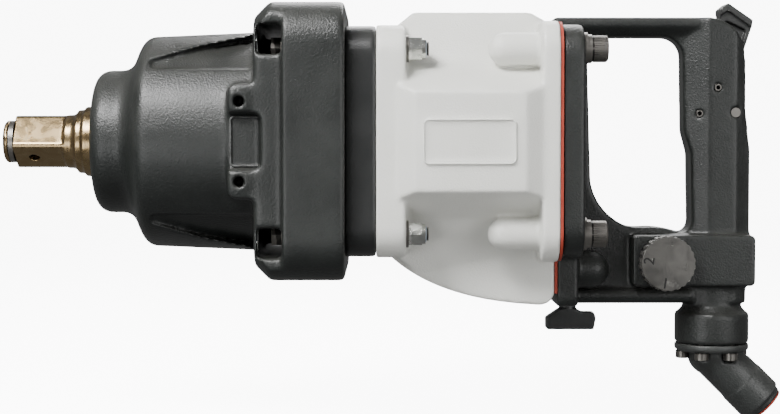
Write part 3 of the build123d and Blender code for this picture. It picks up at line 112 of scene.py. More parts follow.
def addScreen(name, corners, tone, glow):
    mesh = bpy.data.meshes.new(name)
    mesh.from_pydata(corners, [], [(0, 1, 2, 3)])
    screen = bpy.data.objects.new(name, mesh)
    bpy.context.scene.collection.objects.link(screen)
    material = bpy.data.materials.new(name)
    material.use_nodes = True
    shader = material.node_tree.nodes["Principled BSDF"]
    shader.inputs["Base Color"].default_value = (tone, tone, tone, 1)
    shader.inputs["Roughness"].default_value = 0.9
    shader.inputs["Emission Color"].default_value = (1, 1, 1, 1)
    shader.inputs["Emission Strength"].default_value = glow
    mesh.materials.append(material)
    # Only the camera sees the paper, so that it doesn't flood the black castings with light. It takes no shadow.
    screen.visible_diffuse = False
    screen.visible_glossy = False
    screen.visible_shadow = False
    return screen


def buildStage(settings):
    placeCamera(settings)
    middle = (cadBox[0] + cadBox[1]) / 2
    for name, (offset, width, power) in settings["lamps"].items():
        height = width * settings["lampFlatness"]
        addAreaLight(name, middle + Vector(offset), middle, width, height, power)
    world = bpy.data.worlds.new("paleRoom")
    bpy.context.scene.world = world
    world.use_nodes = True
    background = world.node_tree.nodes["Background"]
    background.inputs["Color"].default_value = (1, 1, 1, 1)
    background.inputs["Strength"].default_value = settings["roomLight"]
    low, reach = cadBox[0][2] - settings["floorGap"], settings["floorReach"]
    tone, glow = settings["paperTone"], settings["paperGlow"]
    corners = [(-reach, -reach), (reach, -reach), (reach, reach), (-reach, reach)]
    screens = [addScreen("paleFloor", [(*corner, low) for corner in corners], tone, glow)]
    for side, (start, end) in enumerate(zip(corners, corners[1:] + corners[:1])):
        wall = [(*start, low), (*end, low), (*end, reach), (*start, reach)]
        screens.append(addScreen(f"paleWall{side}", wall, tone, glow))


buildStage(stageSettings)
print("stage ready")


# ---------- node helpers ----------
def addNode(tree, kind, inputs=None, **settings):
    node = tree.nodes.new(kind)
    for key, value in settings.items():
        setattr(node, key, value)
    for key, value in (inputs or {}).items():
        if isinstance(value, bpy.types.NodeSocket):
            tree.links.new(value, node.inputs[key])
        else:
            node.inputs[key].default_value = value
    return node


def startGroup(name, inputs, outputs):
    group = bpy.data.node_groups.new(name, "ShaderNodeTree")
    for label, value in inputs.items():
        socket = group.interface.new_socket(label, in_out="INPUT", socket_type="NodeSocketFloat")
        socket.default_value = value
    for label in outputs:
        group.interface.new_socket(label, in_out="OUTPUT", socket_type="NodeSocketFloat")
    return group, group.nodes.new("NodeGroupInput"), group.nodes.new("NodeGroupOutput")


def objectPoint(tree):
    return addNode(tree, "ShaderNodeTexCoord").outputs["Object"]


def useGroup(tree, group, **inputs):
    return addNode(tree, "ShaderNodeGroup", inputs, node_tree=group)


# Sand-cast skin: fine pits over a slow swell.
def buildCastGrain():
    group, enter, leave = startGroup("castGrain", {"Grain": 900.0, "Swell": 60.0}, ["Height", "Mottle"])
    point = objectPoint(group)
    fine = addNode(
        group, "ShaderNodeTexNoise", {"Vector": point, "Scale": enter.outputs["Grain"], "Detail": 4.0},
    )
    pits = addNode(
        group, "ShaderNodeTexVoronoi", {"Vector": point, "Scale": enter.outputs["Grain"]}, feature="SMOOTH_F1",
    )
    swell = addNode(
        group, "ShaderNodeTexNoise", {"Vector": point, "Scale": enter.outputs["Swell"], "Detail": 3.0},
    )
    mixed = addNode(
        group, "ShaderNodeMath", {0: fine.outputs["Fac"], 1: pits.outputs["Distance"]}, operation="ADD",
    )
    group.links.new(mixed.outputs[0], leave.inputs["Height"])
    group.links.new(swell.outputs["Fac"], leave.inputs["Mottle"])
    return group


# Paint or blacking rubbed off the outer corners, in broken patches. The second output marks creases and hollows by
# low pointiness, for painted shade mixed with some grime in them.
def buildEdgeWearAndCreaseShade():
    group, enter, leave = startGroup("edgeWearAndCreaseShade", {"Start": 0.53, "Breakup": 160.0}, ["Wear", "CreaseShadeAndGrime"])
    patchDepth, startShift, fade = 0.09, 0.045, 0.03
    creaseShadeStart, creaseShadeEnd = 0.49, 0.42
    sharp = addNode(group, "ShaderNodeNewGeometry").outputs["Pointiness"]
    patches = addNode(
        group, "ShaderNodeTexNoise",
        {"Vector": objectPoint(group), "Scale": enter.outputs["Breakup"], "Detail": 5.0, "Roughness": 0.7},
    )
    shifted = addNode(
        group, "ShaderNodeMath", {0: patches.outputs["Fac"], 1: patchDepth, 2: sharp}, operation="MULTIPLY_ADD",
    )
    start = addNode(group, "ShaderNodeMath", {0: enter.outputs["Start"], 1: startShift}, operation="ADD")
    end = addNode(group, "ShaderNodeMath", {0: start.outputs[0], 1: fade}, operation="ADD")
    worn = addNode(
        group, "ShaderNodeMapRange",
        {"Value": shifted.outputs[0], "From Min": start.outputs[0], "From Max": end.outputs[0]},
    )
    # Low pointiness marks creases and hollows: the mask for painted shade, with some grime, in them.
    creaseShadeMask = addNode(
        group, "ShaderNodeMapRange", {"Value": sharp, "From Min": creaseShadeStart, "From Max": creaseShadeEnd},
    )
    group.links.new(worn.outputs["Result"], leave.inputs["Wear"])
    group.links.new(creaseShadeMask.outputs["Result"], leave.inputs["CreaseShadeAndGrime"])
    return group


# Dust settles where the surface looks up, thicker in cloudy patches.
def buildDustFilm():
    group, enter, leave = startGroup("dustFilm", {"Amount": 0.2}, ["Dust"])
    steepest, cloudScale = -0.2, 45.0
    normal = addNode(group, "ShaderNodeNewGeometry").outputs["Normal"]
    facing = addNode(group, "ShaderNodeSeparateXYZ", {0: normal})
    upward = addNode(
        group, "ShaderNodeMapRange", {"Value": facing.outputs["Z"], "From Min": steepest, "From Max": 1.0},
    )
    clouds = addNode(
        group, "ShaderNodeTexNoise", {"Vector": objectPoint(group), "Scale": cloudScale, "Detail": 6.0},
    )
    cloudy = addNode(
        group, "ShaderNodeMath", {0: upward.outputs[0], 1: clouds.outputs["Fac"]}, operation="MULTIPLY",
    )
    film = addNode(
        group, "ShaderNodeMath", {0: cloudy.outputs[0], 1: enter.outputs["Amount"]}, operation="MULTIPLY",
    )
    group.links.new(film.outputs[0], leave.inputs["Dust"])
    return group


# Fine turning lines round the tool axis, with handling smears over them.
def buildTurnedLines():
    group, enter, leave = startGroup("turnedLines", {"Lines": 2600.0}, ["Height", "Smear"])
    lineStretch, smearScale = (1.0, 0.03, 0.03), 90.0
    point = objectPoint(group)
    along = addNode(group, "ShaderNodeVectorMath", {0: point, 1: lineStretch}, operation="MULTIPLY")
    lines = addNode(
        group, "ShaderNodeTexNoise", {"Vector": along.outputs[0], "Scale": enter.outputs["Lines"], "Detail": 2.0},
    )
    smear = addNode(
        group, "ShaderNodeTexNoise", {"Vector": point, "Scale": smearScale, "Detail": 5.0, "Distortion": 1.2},
    )
    group.links.new(lines.outputs["Fac"], leave.inputs["Height"])
    group.links.new(smear.outputs["Fac"], leave.inputs["Smear"])
    return group


# The line where the two halves of the mould met, along the tool's middle plane.
def buildPartingLine():
    group, enter, leave = startGroup("partingLine", {"Rise": 1.5}, ["Height"])
    ridgeFoot, ridgeTop = 0.00055, 0.00015
    across = addNode(group, "ShaderNodeSeparateXYZ", {0: objectPoint(group)}).outputs["Y"]
    away = addNode(group, "ShaderNodeMath", {0: across}, operation="ABSOLUTE")
    ridge = addNode(group, "ShaderNodeMapRange", {
        "Value": away.outputs[0], "From Min": ridgeFoot, "From Max": ridgeTop, "To Max": enter.outputs["Rise"],
    })
    group.links.new(ridge.outputs["Result"], leave.inputs["Height"])
    return group


castGrain, edgeWearAndCreaseShade, dustFilm = buildCastGrain(), buildEdgeWearAndCreaseShade(), buildDustFilm()
turnedLines, partingLine = buildTurnedLines(), buildPartingLine()
dustTone = (0.42, 0.40, 0.36)
bumpDepth = {"coated": 0.0004, "metal": 0.0001, "dull": 0.0002}
noiseSpan = (0.3, 0.7)


def blendColour(tree, share, first, second):
    mix = addNode(tree, "ShaderNodeMix", {"Factor": share}, data_type="RGBA")
    for socket, value in ((mix.inputs[6], first), (mix.inputs[7], second)):
        if isinstance(value, bpy.types.NodeSocket):
            tree.links.new(value, socket)
        else:
            socket.default_value = (*value, 1)
    return mix.outputs[2]


def rangeOf(tree, value, low, high):
    return addNode(tree, "ShaderNodeMapRange", {
        "Value": value, "From Min": noiseSpan[0], "From Max": noiseSpan[1], "To Min": low, "To Max": high,
    }).outputs[0]


def startMaterial(name):
    material = bpy.data.materials.new(name)
    material.use_nodes = True
    return material, material.node_tree, material.node_tree.nodes["Principled BSDF"]


def addBump(tree, shader, height, strength, distance):
    bump = addNode(tree, "ShaderNodeBump", {"Height": height, "Strength": strength, "Distance": distance})
    tree.links.new(bump.outputs["Normal"], shader.inputs["Normal"])


# A painted or moulded skin over a casting; wear shows the metal or the pale plastic below. Creases and hollows are
# darkened with painted shade mixed with some grime.
def coatedFinish(name, values):
    material, tree, shader = startMaterial(name)
    grain = useGroup(tree, castGrain, Grain=values["grain"], Swell=values["swell"])
    wear = useGroup(tree, edgeWearAndCreaseShade, Start=values["wearStart"])
    dust = useGroup(tree, dustFilm, Amount=values["dust"])
    tone = blendColour(tree, grain.outputs["Mottle"], values["dark"], values["light"])
    # Painted shade with some grime: creases and hollows are darkened towards a darker tone by the crease mask.
    shadeAndGrime = addNode(
        tree, "ShaderNodeMath", {0: wear.outputs["CreaseShadeAndGrime"], 1: values["shadeAndGrime"]}, operation="MULTIPLY",
    )
    tone = blendColour(tree, shadeAndGrime.outputs[0], tone, values["shadeAndGrimeTone"])
    tone = blendColour(tree, dust.outputs["Dust"], tone, dustTone)
    worn = addNode(tree, "ShaderNodeMath", {0: wear.outputs["Wear"], 1: values["wear"]}, operation="MULTIPLY")
    tree.links.new(blendColour(tree, worn.outputs[0], tone, values["under"]), shader.inputs["Base Color"])
    if "underMetal" in values:
        metal = addNode(
            tree, "ShaderNodeMath", {0: worn.outputs[0], 1: values["underMetal"]}, operation="MULTIPLY",
        )
        tree.links.new(metal.outputs[0], shader.inputs["Metallic"])
    tree.links.new(
        rangeOf(tree, grain.outputs["Mottle"], values["rough"] - 0.05, values["rough"] + 0.07),
        shader.inputs["Roughness"],
    )
    shader.inputs["Coat Weight"].default_value = values["coat"]
    shader.inputs["Coat Roughness"].default_value = 0.25
    shader.inputs["Specular IOR Level"].default_value = values["specular"]
    relief = grain.outputs["Height"]
    if "seam" in values:
        seam = useGroup(tree, partingLine, Rise=values["seam"])
        relief = addNode(
            tree, "ShaderNodeMath", {0: relief, 1: seam.outputs["Height"]}, operation="ADD",
        ).outputs[0]
    addBump(tree, shader, relief, values["bump"], bumpDepth["coated"])
    return material


# A turned, ground or plated metal surface.
def metalFinish(name, values):
    material, tree, shader = startMaterial(name)
    lines = useGroup(tree, turnedLines, Lines=values["lines"])
    wear = useGroup(tree, edgeWearAndCreaseShade, Start=values["wearStart"])
    tone = blendColour(tree, rangeOf(tree, lines.outputs["Smear"], 0.0, 1.0), values["dark"], values["light"])
    tone = blendColour(tree, wear.outputs["Wear"], tone, values["bright"])
    tree.links.new(tone, shader.inputs["Base Color"])
    shader.inputs["Metallic"].default_value = values["metal"]
    tree.links.new(
        rangeOf(tree, lines.outputs["Smear"], values["rough"] - 0.07, values["rough"] + 0.1),
        shader.inputs["Roughness"],
    )
    addBump(tree, shader, lines.outputs["Height"], values["bump"], bumpDepth["metal"])
    return material


# Rubber, composite and woven wire: dull, finely speckled.
def dullFinish(name, values):
    material, tree, shader = startMaterial(name)
    grain = useGroup(tree, castGrain, Grain=values["grain"], Swell=140.0)
    tone = blendColour(tree, rangeOf(tree, grain.outputs["Mottle"], 0.0, 1.0), values["dark"], values["light"])
    if "dust" in values:
        dust = useGroup(tree, dustFilm, Amount=values["dust"])
        tone = blendColour(tree, dust.outputs["Dust"], tone, dustTone)
    tree.links.new(tone, shader.inputs["Base Color"])
    shader.inputs["Metallic"].default_value = values["metal"]
    tree.links.new(rangeOf(tree, grain.outputs["Mottle"], 0.5, 0.75), shader.inputs["Roughness"])
    addBump(tree, shader, grain.outputs["Height"], values["bump"], bumpDepth["dull"])
    return material


# The crease values set how far hollows darken: painted shade mixed with some grime.
coatedValues = {
    "black_casting": {
        "dark": (0.006, 0.0072, 0.0066), "light": (0.013, 0.0155, 0.0142), "grain": 950.0, "swell": 45.0,
        "rough": 0.42, "coat": 0.12, "bump": 0.55, "wearStart": 0.545, "wear": 0.55, "under": (0.16, 0.165, 0.16),
        "underMetal": 0.6, "shadeAndGrime": 0.5, "shadeAndGrimeTone": (0.006, 0.006, 0.005),
        "specular": 0.42, "seam": 1.6, "dust": 0.10,
    },
    "satin_black": {
        "dark": (0.008, 0.009, 0.009), "light": (0.017, 0.018, 0.018), "grain": 1500.0, "swell": 60.0,
        "rough": 0.36, "coat": 0.10, "bump": 0.22, "wearStart": 0.55, "wear": 0.5, "under": (0.18, 0.18, 0.18),
        "underMetal": 0.7, "shadeAndGrime": 0.4, "shadeAndGrimeTone": (0.006, 0.006, 0.005),
        "specular": 0.45, "dust": 0.06,
    },
    "pale_paint": {
        "dark": (0.70, 0.70, 0.655), "light": (0.80, 0.80, 0.755), "grain": 1100.0, "swell": 38.0,
        "rough": 0.42, "coat": 0.15, "bump": 0.42, "wearStart": 0.56, "wear": 0.25, "under": (0.78, 0.78, 0.75),
        "underMetal": 0.2, "shadeAndGrime": 0.55, "shadeAndGrimeTone": (0.33, 0.32, 0.27),
        "specular": 0.5, "seam": 0.9, "dust": 0.10,
    },
    "black_plastic": {
        "dark": (0.016, 0.017, 0.017), "light": (0.028, 0.029, 0.028), "grain": 1900.0, "swell": 90.0,
        "rough": 0.44, "coat": 0.05, "bump": 0.3, "wearStart": 0.54, "wear": 0.8, "under": (0.13, 0.13, 0.125),
        "shadeAndGrime": 0.3, "shadeAndGrimeTone": (0.012, 0.012, 0.011),
        "specular": 0.4, "dust": 0.12,
    },
    "grey_casting": {
        "dark": (0.018, 0.020, 0.019), "light": (0.040, 0.043, 0.041), "grain": 1000.0, "swell": 70.0,
        "rough": 0.40, "coat": 0.08, "bump": 0.45, "wearStart": 0.54, "wear": 0.9, "under": (0.27, 0.265, 0.25),
        "underMetal": 0.9, "shadeAndGrime": 0.5, "shadeAndGrimeTone": (0.010, 0.009, 0.008),
        "specular": 0.5, "seam": 1.2, "dust": 0.08,
    },
}
metalValues = {
    "bronzed_steel": {"dark": (0.27, 0.19, 0.095), "light": (0.35, 0.26, 0.145), "bright": (0.56, 0.46, 0.31),
                      "lines": 2400.0, "rough": 0.25, "bump": 0.35, "metal": 1.0, "wearStart": 0.56},
    "dark_steel": {"dark": (0.024, 0.023, 0.021), "light": (0.058, 0.056, 0.051), "bright": (0.20, 0.19, 0.175),
                   "lines": 3000.0, "rough": 0.36, "bump": 0.3, "metal": 0.9, "wearStart": 0.56},
    "bare_steel": {"dark": (0.42, 0.42, 0.41), "light": (0.58, 0.58, 0.56), "bright": (0.72, 0.72, 0.70),
                   "lines": 3200.0, "rough": 0.24, "bump": 0.25, "metal": 1.0, "wearStart": 0.58},
    "zinc": {"dark": (0.46, 0.47, 0.45), "light": (0.66, 0.67, 0.62), "bright": (0.82, 0.82, 0.78),
             "lines": 2000.0, "rough": 0.22, "bump": 0.25, "metal": 1.0, "wearStart": 0.58},
    "bronze": {"dark": (0.40, 0.25, 0.10), "light": (0.58, 0.40, 0.18), "bright": (0.72, 0.55, 0.30),
               "lines": 1800.0, "rough": 0.34, "bump": 0.3, "metal": 1.0, "wearStart": 0.58},
    "dial_metal": {"dark": (0.10, 0.098, 0.092), "light": (0.155, 0.15, 0.14), "bright": (0.36, 0.35, 0.33),
                   "lines": 1500.0, "rough": 0.38, "bump": 0.3, "metal": 0.9, "wearStart": 0.54},
}
dullValues = {
    "black_rubber": {"dark": (0.010, 0.010, 0.010), "light": (0.025, 0.025, 0.025), "grain": 2200.0,
                     "metal": 0.0, "bump": 0.3, "dust": 0.1},
    "red_gasket": {"dark": (0.26, 0.028, 0.014), "light": (0.38, 0.045, 0.022), "grain": 2400.0,
                   "metal": 0.0, "bump": 0.25, "dust": 0.05},
    "vane_composite": {"dark": (0.22, 0.12, 0.05), "light": (0.38, 0.23, 0.10), "grain": 1600.0,
                       "metal": 0.0, "bump": 0.3},
    "brass_mesh": {"dark": (0.34, 0.23, 0.09), "light": (0.55, 0.40, 0.19), "grain": 1500.0,
                   "metal": 0.9, "bump": 0.3},
    "nylon_insert": {"dark": (0.30, 0.36, 0.42), "light": (0.44, 0.50, 0.55), "grain": 1500.0,
                     "metal": 0.0, "bump": 0.15, "dust": 0.05},
    "engraving_ink": {"dark": (0.006, 0.006, 0.006), "light": (0.014, 0.013, 0.012), "grain": 1800.0,
                      "metal": 0.0, "bump": 0.2},
}
finishes = {}
for finishName, values in coatedValues.items():
    finishes[finishName] = coatedFinish(finishName, values)
for finishName, values in metalValues.items():
    finishes[finishName] = metalFinish(finishName, values)
for finishName, values in dullValues.items():
    finishes[finishName] = dullFinish(finishName, values)

blackened = {"socket_retaining_ring": "dark_steel"}
for nodeName, node in frame["nodes"].items():
    for materialSlot in node.material_slots:
        materialSlot.material = finishes[blackened.get(nodeName, slotOf[nodeName])]
print("finishes ready:", len(finishes))


# ---------- mesh helpers ----------
def plainMesh(source):
    bpy.context.view_layer.update()
    made = bpy.data.meshes.new_from_object(source.evaluated_get(bpy.context.evaluated_depsgraph_get()))
    bpy.data.objects.remove(source)
    return made


def addPiece(name, mesh, body, slot, smooth=False, material=None):
    piece = bpy.data.objects.new(name, mesh)
    bpy.context.scene.collection.objects.link(piece)
    mesh.materials.clear()
    mesh.materials.append(finishes[material or slot])
    mesh.polygons.foreach_set("use_smooth", [smooth] * len(mesh.polygons))
    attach(piece, body)
    return piece


def relax(mesh, rounds, weight):
    # Each round draws a vertex towards the mean of its neighbours by its weight.
    count = len(mesh.vertices)
    points = np.empty(count * 3)
    mesh.vertices.foreach_get("co", points)
    points = points.reshape(-1, 3)
    ends = np.empty(len(mesh.edges) * 2, int)
    mesh.edges.foreach_get("vertices", ends)
    first, second = ends[0::2], ends[1::2]
    degree = np.bincount(ends, minlength=count)[:, None]
    share = weight(points)[:, None]
    for _ in range(rounds):
        total = np.empty_like(points)
        for axis in range(3):
            total[:, axis] = np.bincount(first, points[second, axis], count)
            total[:, axis] += np.bincount(second, points[first, axis], count)
        points = points + share * (total / degree - points)
    mesh.vertices.foreach_set("co", points.ravel())
    mesh.update()


# ---------- cast skins: the castings with the soft corners of a mould ----------
castSkins = {
    "hammer_case": {"voxel": 0.00125, "rounds": 9, "keep": 0.55},
    "motor_housing": {"voxel": 0.00110, "rounds": 7, "keep": 0.5},
    "handle": {"voxel": 0.00100, "rounds": 9, "keep": 0.5},
    "inlet_elbow": {"voxel": 0.00060, "rounds": 8, "keep": 0.6},
    "trigger_lever": {"voxel": 0.00055, "rounds": 6, "keep": 0.9, "inward": 0.0003},
    "reverse_lever": {"voxel": 0.00055, "rounds": 7, "keep": 0.9},
    "intermediate_plate": {"voxel": 0.00120, "rounds": 3, "keep": 0.4},
    "anvil": {"voxel": 0.00060, "rounds": 4, "keep": 0.8},
}


# The grip is rounded more than the machined faces round it, and the trigger's slot stays as cut.
handleSoftness = {
    "plainShare": 0.5, "gripShare": 0.62, "gripTop": 0.016, "gripFoot": 0.070, "gripDepth": 0.052,
    "slotReach": 0.018, "slotDrop": 0.004, "slotGap": 0.0009,
}
weldReach = 1e-6


def softShare(nodeName, settings):
    def share(points):
        if nodeName != "handle":
            return np.full(len(points), settings["plainShare"])
        low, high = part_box("handle")
        slotLow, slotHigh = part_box("trigger_lever")
        along, side, height = points[:, 0], np.abs(points[:, 1]), points[:, 2]
        grip = along > high[0] - settings["gripDepth"]
        grip &= (height < high[2] - settings["gripTop"]) & (height > low[2] + settings["gripFoot"])
        slot = (along > slotLow[0] - settings["slotReach"]) & (height > slotLow[2] - settings["slotDrop"])
        slot &= side < slotHigh[1] + settings["slotGap"]
        return np.where(slot, 0.0, np.where(grip, settings["gripShare"], settings["plainShare"]))
    return share


def castSkin(nodeName, values):
    node = frame["nodes"][nodeName]
    source = bpy.data.objects.new(nodeName + "_source", node.data.copy())
    bpy.context.scene.collection.objects.link(source)
    weld = source.modifiers.new("weld", "WELD")
    weld.merge_threshold = weldReach
    remesh = source.modifiers.new("remesh", "REMESH")
    remesh.mode = "VOXEL"
    remesh.voxel_size = values["voxel"]
    mesh = plainMesh(source)
    relax(mesh, values["rounds"], softShare(nodeName, handleSoftness))
    thinned = bpy.data.objects.new(nodeName + "_thinned", mesh)
    bpy.context.scene.collection.objects.link(thinned)
    decimate = thinned.modifiers.new("decimate", "DECIMATE")
    decimate.ratio = values["keep"]
    if "inward" in values:
        shrink = thinned.modifiers.new("shrink", "DISPLACE")
        shrink.mid_level = 0.0
        shrink.strength = -values["inward"]
    mesh = plainMesh(thinned)
    skin = addPiece(nodeName + "_skin", mesh, bodyOf[nodeName], slotOf[nodeName], smooth=True)
    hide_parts(nodeName)
    print(nodeName, "skin:", len(mesh.polygons), "faces")


for nodeName, values in castSkins.items():
    castSkin(nodeName, values)
print("cast skins ready")


# ---------- repeated details as Geometry Nodes ----------
def startTree(name, inputs):
    tree = bpy.data.node_groups.new(name, "GeometryNodeTree")
    kinds = {float: "NodeSocketFloat", int: "NodeSocketInt"}
    for label, value in inputs.items():
        socket = tree.interface.new_socket(label, in_out="INPUT", socket_type=kinds[type(value)])
        socket.default_value = value
    tree.interface.new_socket("Finish", in_out="INPUT", socket_type="NodeSocketMaterial")
    tree.interface.new_socket("Geometry", in_out="OUTPUT", socket_type="NodeSocketGeometry")
    return tree, tree.nodes.new("NodeGroupInput"), tree.nodes.new("NodeGroupOutput")


def endTree(tree, enter, leave, instances):
    realised = addNode(tree, "GeometryNodeRealizeInstances", {"Geometry": instances})
    painted = addNode(
        tree, "GeometryNodeSetMaterial", {"Geometry": realised.outputs[0], "Material": enter.outputs["Finish"]},
    )
    tree.links.new(painted.outputs[0], leave.inputs["Geometry"])
    return tree


# Straight knurl: a ridge at each step round a cylinder whose axis is Z.
def buildKnurlTree():
    tree, enter, leave = startTree(
        "knurlRidges", {"Radius": 0.008, "Length": 0.008, "Ridge Count": 40, "Ridge Width": 0.0008},
    )
    ask = enter.outputs
    step = addNode(tree, "ShaderNodeMath", {0: 2 * pi, 1: ask["Ridge Count"]}, operation="DIVIDE")
    index = addNode(tree, "GeometryNodeInputIndex").outputs[0]
    angle = addNode(tree, "ShaderNodeMath", {0: step.outputs[0], 1: index}, operation="MULTIPLY")
    across = addNode(tree, "ShaderNodeMath", {0: angle.outputs[0]}, operation="COSINE")
    upward = addNode(tree, "ShaderNodeMath", {0: angle.outputs[0]}, operation="SINE")
    ring = addNode(tree, "ShaderNodeCombineXYZ", {0: across.outputs[0], 1: upward.outputs[0]})
    place = addNode(tree, "ShaderNodeVectorMath", {0: ring.outputs[0], "Scale": ask["Radius"]}, operation="SCALE")
    points = addNode(tree, "GeometryNodePoints", {"Count": ask["Ridge Count"], "Position": place.outputs[0]})
    turn = addNode(tree, "ShaderNodeCombineXYZ", {2: angle.outputs[0]})
    size = addNode(
        tree, "ShaderNodeCombineXYZ", {0: ask["Ridge Width"], 1: ask["Ridge Width"], 2: ask["Length"]},
    )
    ridge = addNode(tree, "GeometryNodeMeshCube", {"Size": size.outputs[0]})
    instances = addNode(tree, "GeometryNodeInstanceOnPoints", {
        "Points": points.outputs[0], "Instance": ridge.outputs["Mesh"], "Rotation": turn.outputs[0],
    })
    return endTree(tree, enter, leave, instances.outputs[0])


# Screw thread: a crest ring at each pitch along Z.
def buildThreadTree():
    tree, enter, leave = startTree(
        "threadCrests", {"Radius": 0.006, "Pitch": 0.00175, "Crests": 5, "Crest Width": 0.0005},
    )
    ask = enter.outputs
    step = addNode(tree, "ShaderNodeCombineXYZ", {2: ask["Pitch"]})
    line = addNode(tree, "GeometryNodeMeshLine", {"Count": ask["Crests"], "Offset": step.outputs[0]})
    circle = addNode(tree, "GeometryNodeCurvePrimitiveCircle", {"Resolution": 48, "Radius": ask["Radius"]})
    crest = addNode(tree, "GeometryNodeCurvePrimitiveCircle", {"Resolution": 4, "Radius": ask["Crest Width"]})
    ring = addNode(
        tree, "GeometryNodeCurveToMesh", {"Curve": circle.outputs[0], "Profile Curve": crest.outputs[0]},
    )
    instances = addNode(
        tree, "GeometryNodeInstanceOnPoints", {"Points": line.outputs[0], "Instance": ring.outputs[0]},
    )
    return endTree(tree, enter, leave, instances.outputs[0])


knurlTree, threadTree = buildKnurlTree(), buildThreadTree()


def growDetail(tree, values, material):
    carrier = bpy.data.objects.new("carrier", bpy.data.meshes.new("carrier"))
    bpy.context.scene.collection.objects.link(carrier)
    modifier = carrier.modifiers.new("grow", "NODES")
    modifier.node_group = tree
    for item in tree.interface.items_tree:
        if item.in_out == "INPUT":
            modifier[item.identifier] = finishes[material] if item.name == "Finish" else values[item.name]
    return plainMesh(carrier)


def axisTurn(direction):
    return Vector(direction).to_track_quat("Z", "Y").to_matrix().to_4x4()


def joinMeshes(name, placed):
    vertices, faces = [], []
    for mesh, matrix in placed:
        start = len(vertices)
        vertices += [matrix @ vertex.co for vertex in mesh.vertices]
        faces += [[start + index for index in polygon.vertices] for polygon in mesh.polygons]
    joined = bpy.data.meshes.new(name)
    joined.from_pydata(vertices, [], faces)
    joined.validate()
    return joined


def solidBoxes(nodeName):
    # Boxes of the separate solids in one node: corners that coincide or share an edge belong together.
    mesh = frame["nodes"][nodeName].data
    points = [tuple(round(value, 6) for value in vertex.co) for vertex in mesh.vertices]
    leader = {point: point for point in points}

    def root(point):
        while leader[point] != point:
            point = leader[point]
        return point

    for edge in mesh.edges:
        leader[root(points[edge.vertices[0]])] = root(points[edge.vertices[1]])
    groups = {}
    for point in leader:
        groups.setdefault(root(point), []).append(point)
    boxes = [(Vector(np.min(group, axis=0)), Vector(np.max(group, axis=0))) for group in groups.values()]
    return sorted(boxes, key=lambda box: tuple(box[0]))


def tubeMesh(outer, inner, length, lip, sides):
    # A tube along Z from the origin, with its outer rims broken.
    profile = [
        (inner, 0), (outer - lip, 0), (outer, lip),
        (outer, length - lip), (outer - lip, length), (inner, length),
    ]
    vertices = [
        (radius * cos(2 * pi * step / sides), radius * sin(2 * pi * step / sides), height)
        for step in range(sides) for radius, height in profile
    ]
    size = len(profile)
    faces = [
        (
            step * size + row, (step + 1) % sides * size + row,
            (step + 1) % sides * size + (row + 1) % size, step * size + (row + 1) % size,
        )
        for step in range(sides) for row in range(size)
    ]
    mesh = bpy.data.meshes.new("tube")
    mesh.from_pydata(vertices, [], faces)
    return mesh


def lineMesh(points, radius, cyclic=True):
    # A thin round ridge that follows points.
    curve = bpy.data.curves.new("ridge", "CURVE")
    curve.dimensions = "3D"
    curve.bevel_depth = radius
    curve.bevel_resolution = 2
    spline = curve.splines.new("POLY")
    spline.points.add(len(points) - 1)
    for place, point in zip(spline.points, points):
        place.co = (*point, 1)
    spline.use_cyclic_u = cyclic
    ridge = bpy.data.objects.new("ridge", curve)
    bpy.context.scene.collection.objects.link(ridge)
    return plainMesh(ridge)


def roundedOutline(middle, length, height, corner, y):
    # A rectangle with round corners in the XZ plane.
    points, steps = [], 6
    for start, (across, up) in enumerate(((1, 1), (-1, 1), (-1, -1), (1, -1))):
        for step in range(steps + 1):
            angle = (start + step / steps) * pi / 2
            points.append((
                middle[0] + across * (length / 2 - corner) + corner * cos(angle), y,
                middle[1] + up * (height / 2 - corner) + corner * sin(angle),
            ))
    return points


def slab(low, high):
    mesh = bpy.data.meshes.new("slab")
    corners = [(x, y, z) for x in (low[0], high[0]) for y in (low[1], high[1]) for z in (low[2], high[2])]
    sides = [(0, 1, 3, 2), (4, 6, 7, 5), (0, 4, 5, 1), (2, 3, 7, 6), (0, 2, 6, 4), (1, 5, 7, 3)]
    mesh.from_pydata(corners, [], sides)
    return mesh


# ---------- knurled heads of the handle screws and of the elbow screws ----------
handleKnurl = {"ridgeCount": 46, "ridgeWidth": 0.00072, "sink": 0.00016, "inset": 0.0012}
elbowKnurl = {"ridgeCount": 30, "ridgeWidth": 0.00055, "sink": 0.00012, "inset": 0.0005, "headHeight": 0.005}


def knurlHeads(name, nodeName, settings, axis, headStart, headEnd):
    along = "XYZ".index(axis)
    placed = []
    for low, high in solidBoxes(nodeName):
        ridges = growDetail(knurlTree, {
            "Radius": (high - low)[1] / 2 - settings["sink"],
            "Length": abs(headEnd - headStart) - 2 * settings["inset"],
            "Ridge Count": settings["ridgeCount"], "Ridge Width": settings["ridgeWidth"],
        }, "dark_steel")
        middle = (low + high) / 2
        middle[along] = (headStart + headEnd) / 2
        placed.append((ridges, Matrix.Translation(middle) @ axisTurn([axis == letter for letter in "XYZ"])))
    return addPiece(name, joinMeshes(name, placed), "root", slotOf[nodeName])


knurlHeads(
    "handle_screw_knurls", "handle_screws", handleKnurl, "X",
    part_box("handle_spring_washers")[1][0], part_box("handle_screws")[1][0],
)
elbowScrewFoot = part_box("elbow_screws")[0][2]
knurlHeads(
    "elbow_screw_knurls", "elbow_screws", elbowKnurl, "Z",
    elbowScrewFoot + elbowKnurl["headHeight"], elbowScrewFoot,
)
print("screw knurls ready")

# ---------- threads and nylon rings of the case bolts ----------
boltThread = {
    "radius": 0.0040, "pitch": 0.00125, "crestWidth": 0.00035, "nylonWidth": 0.0009, "nylonRadius": 0.0047,
    "nutGap": 0.0003,
}


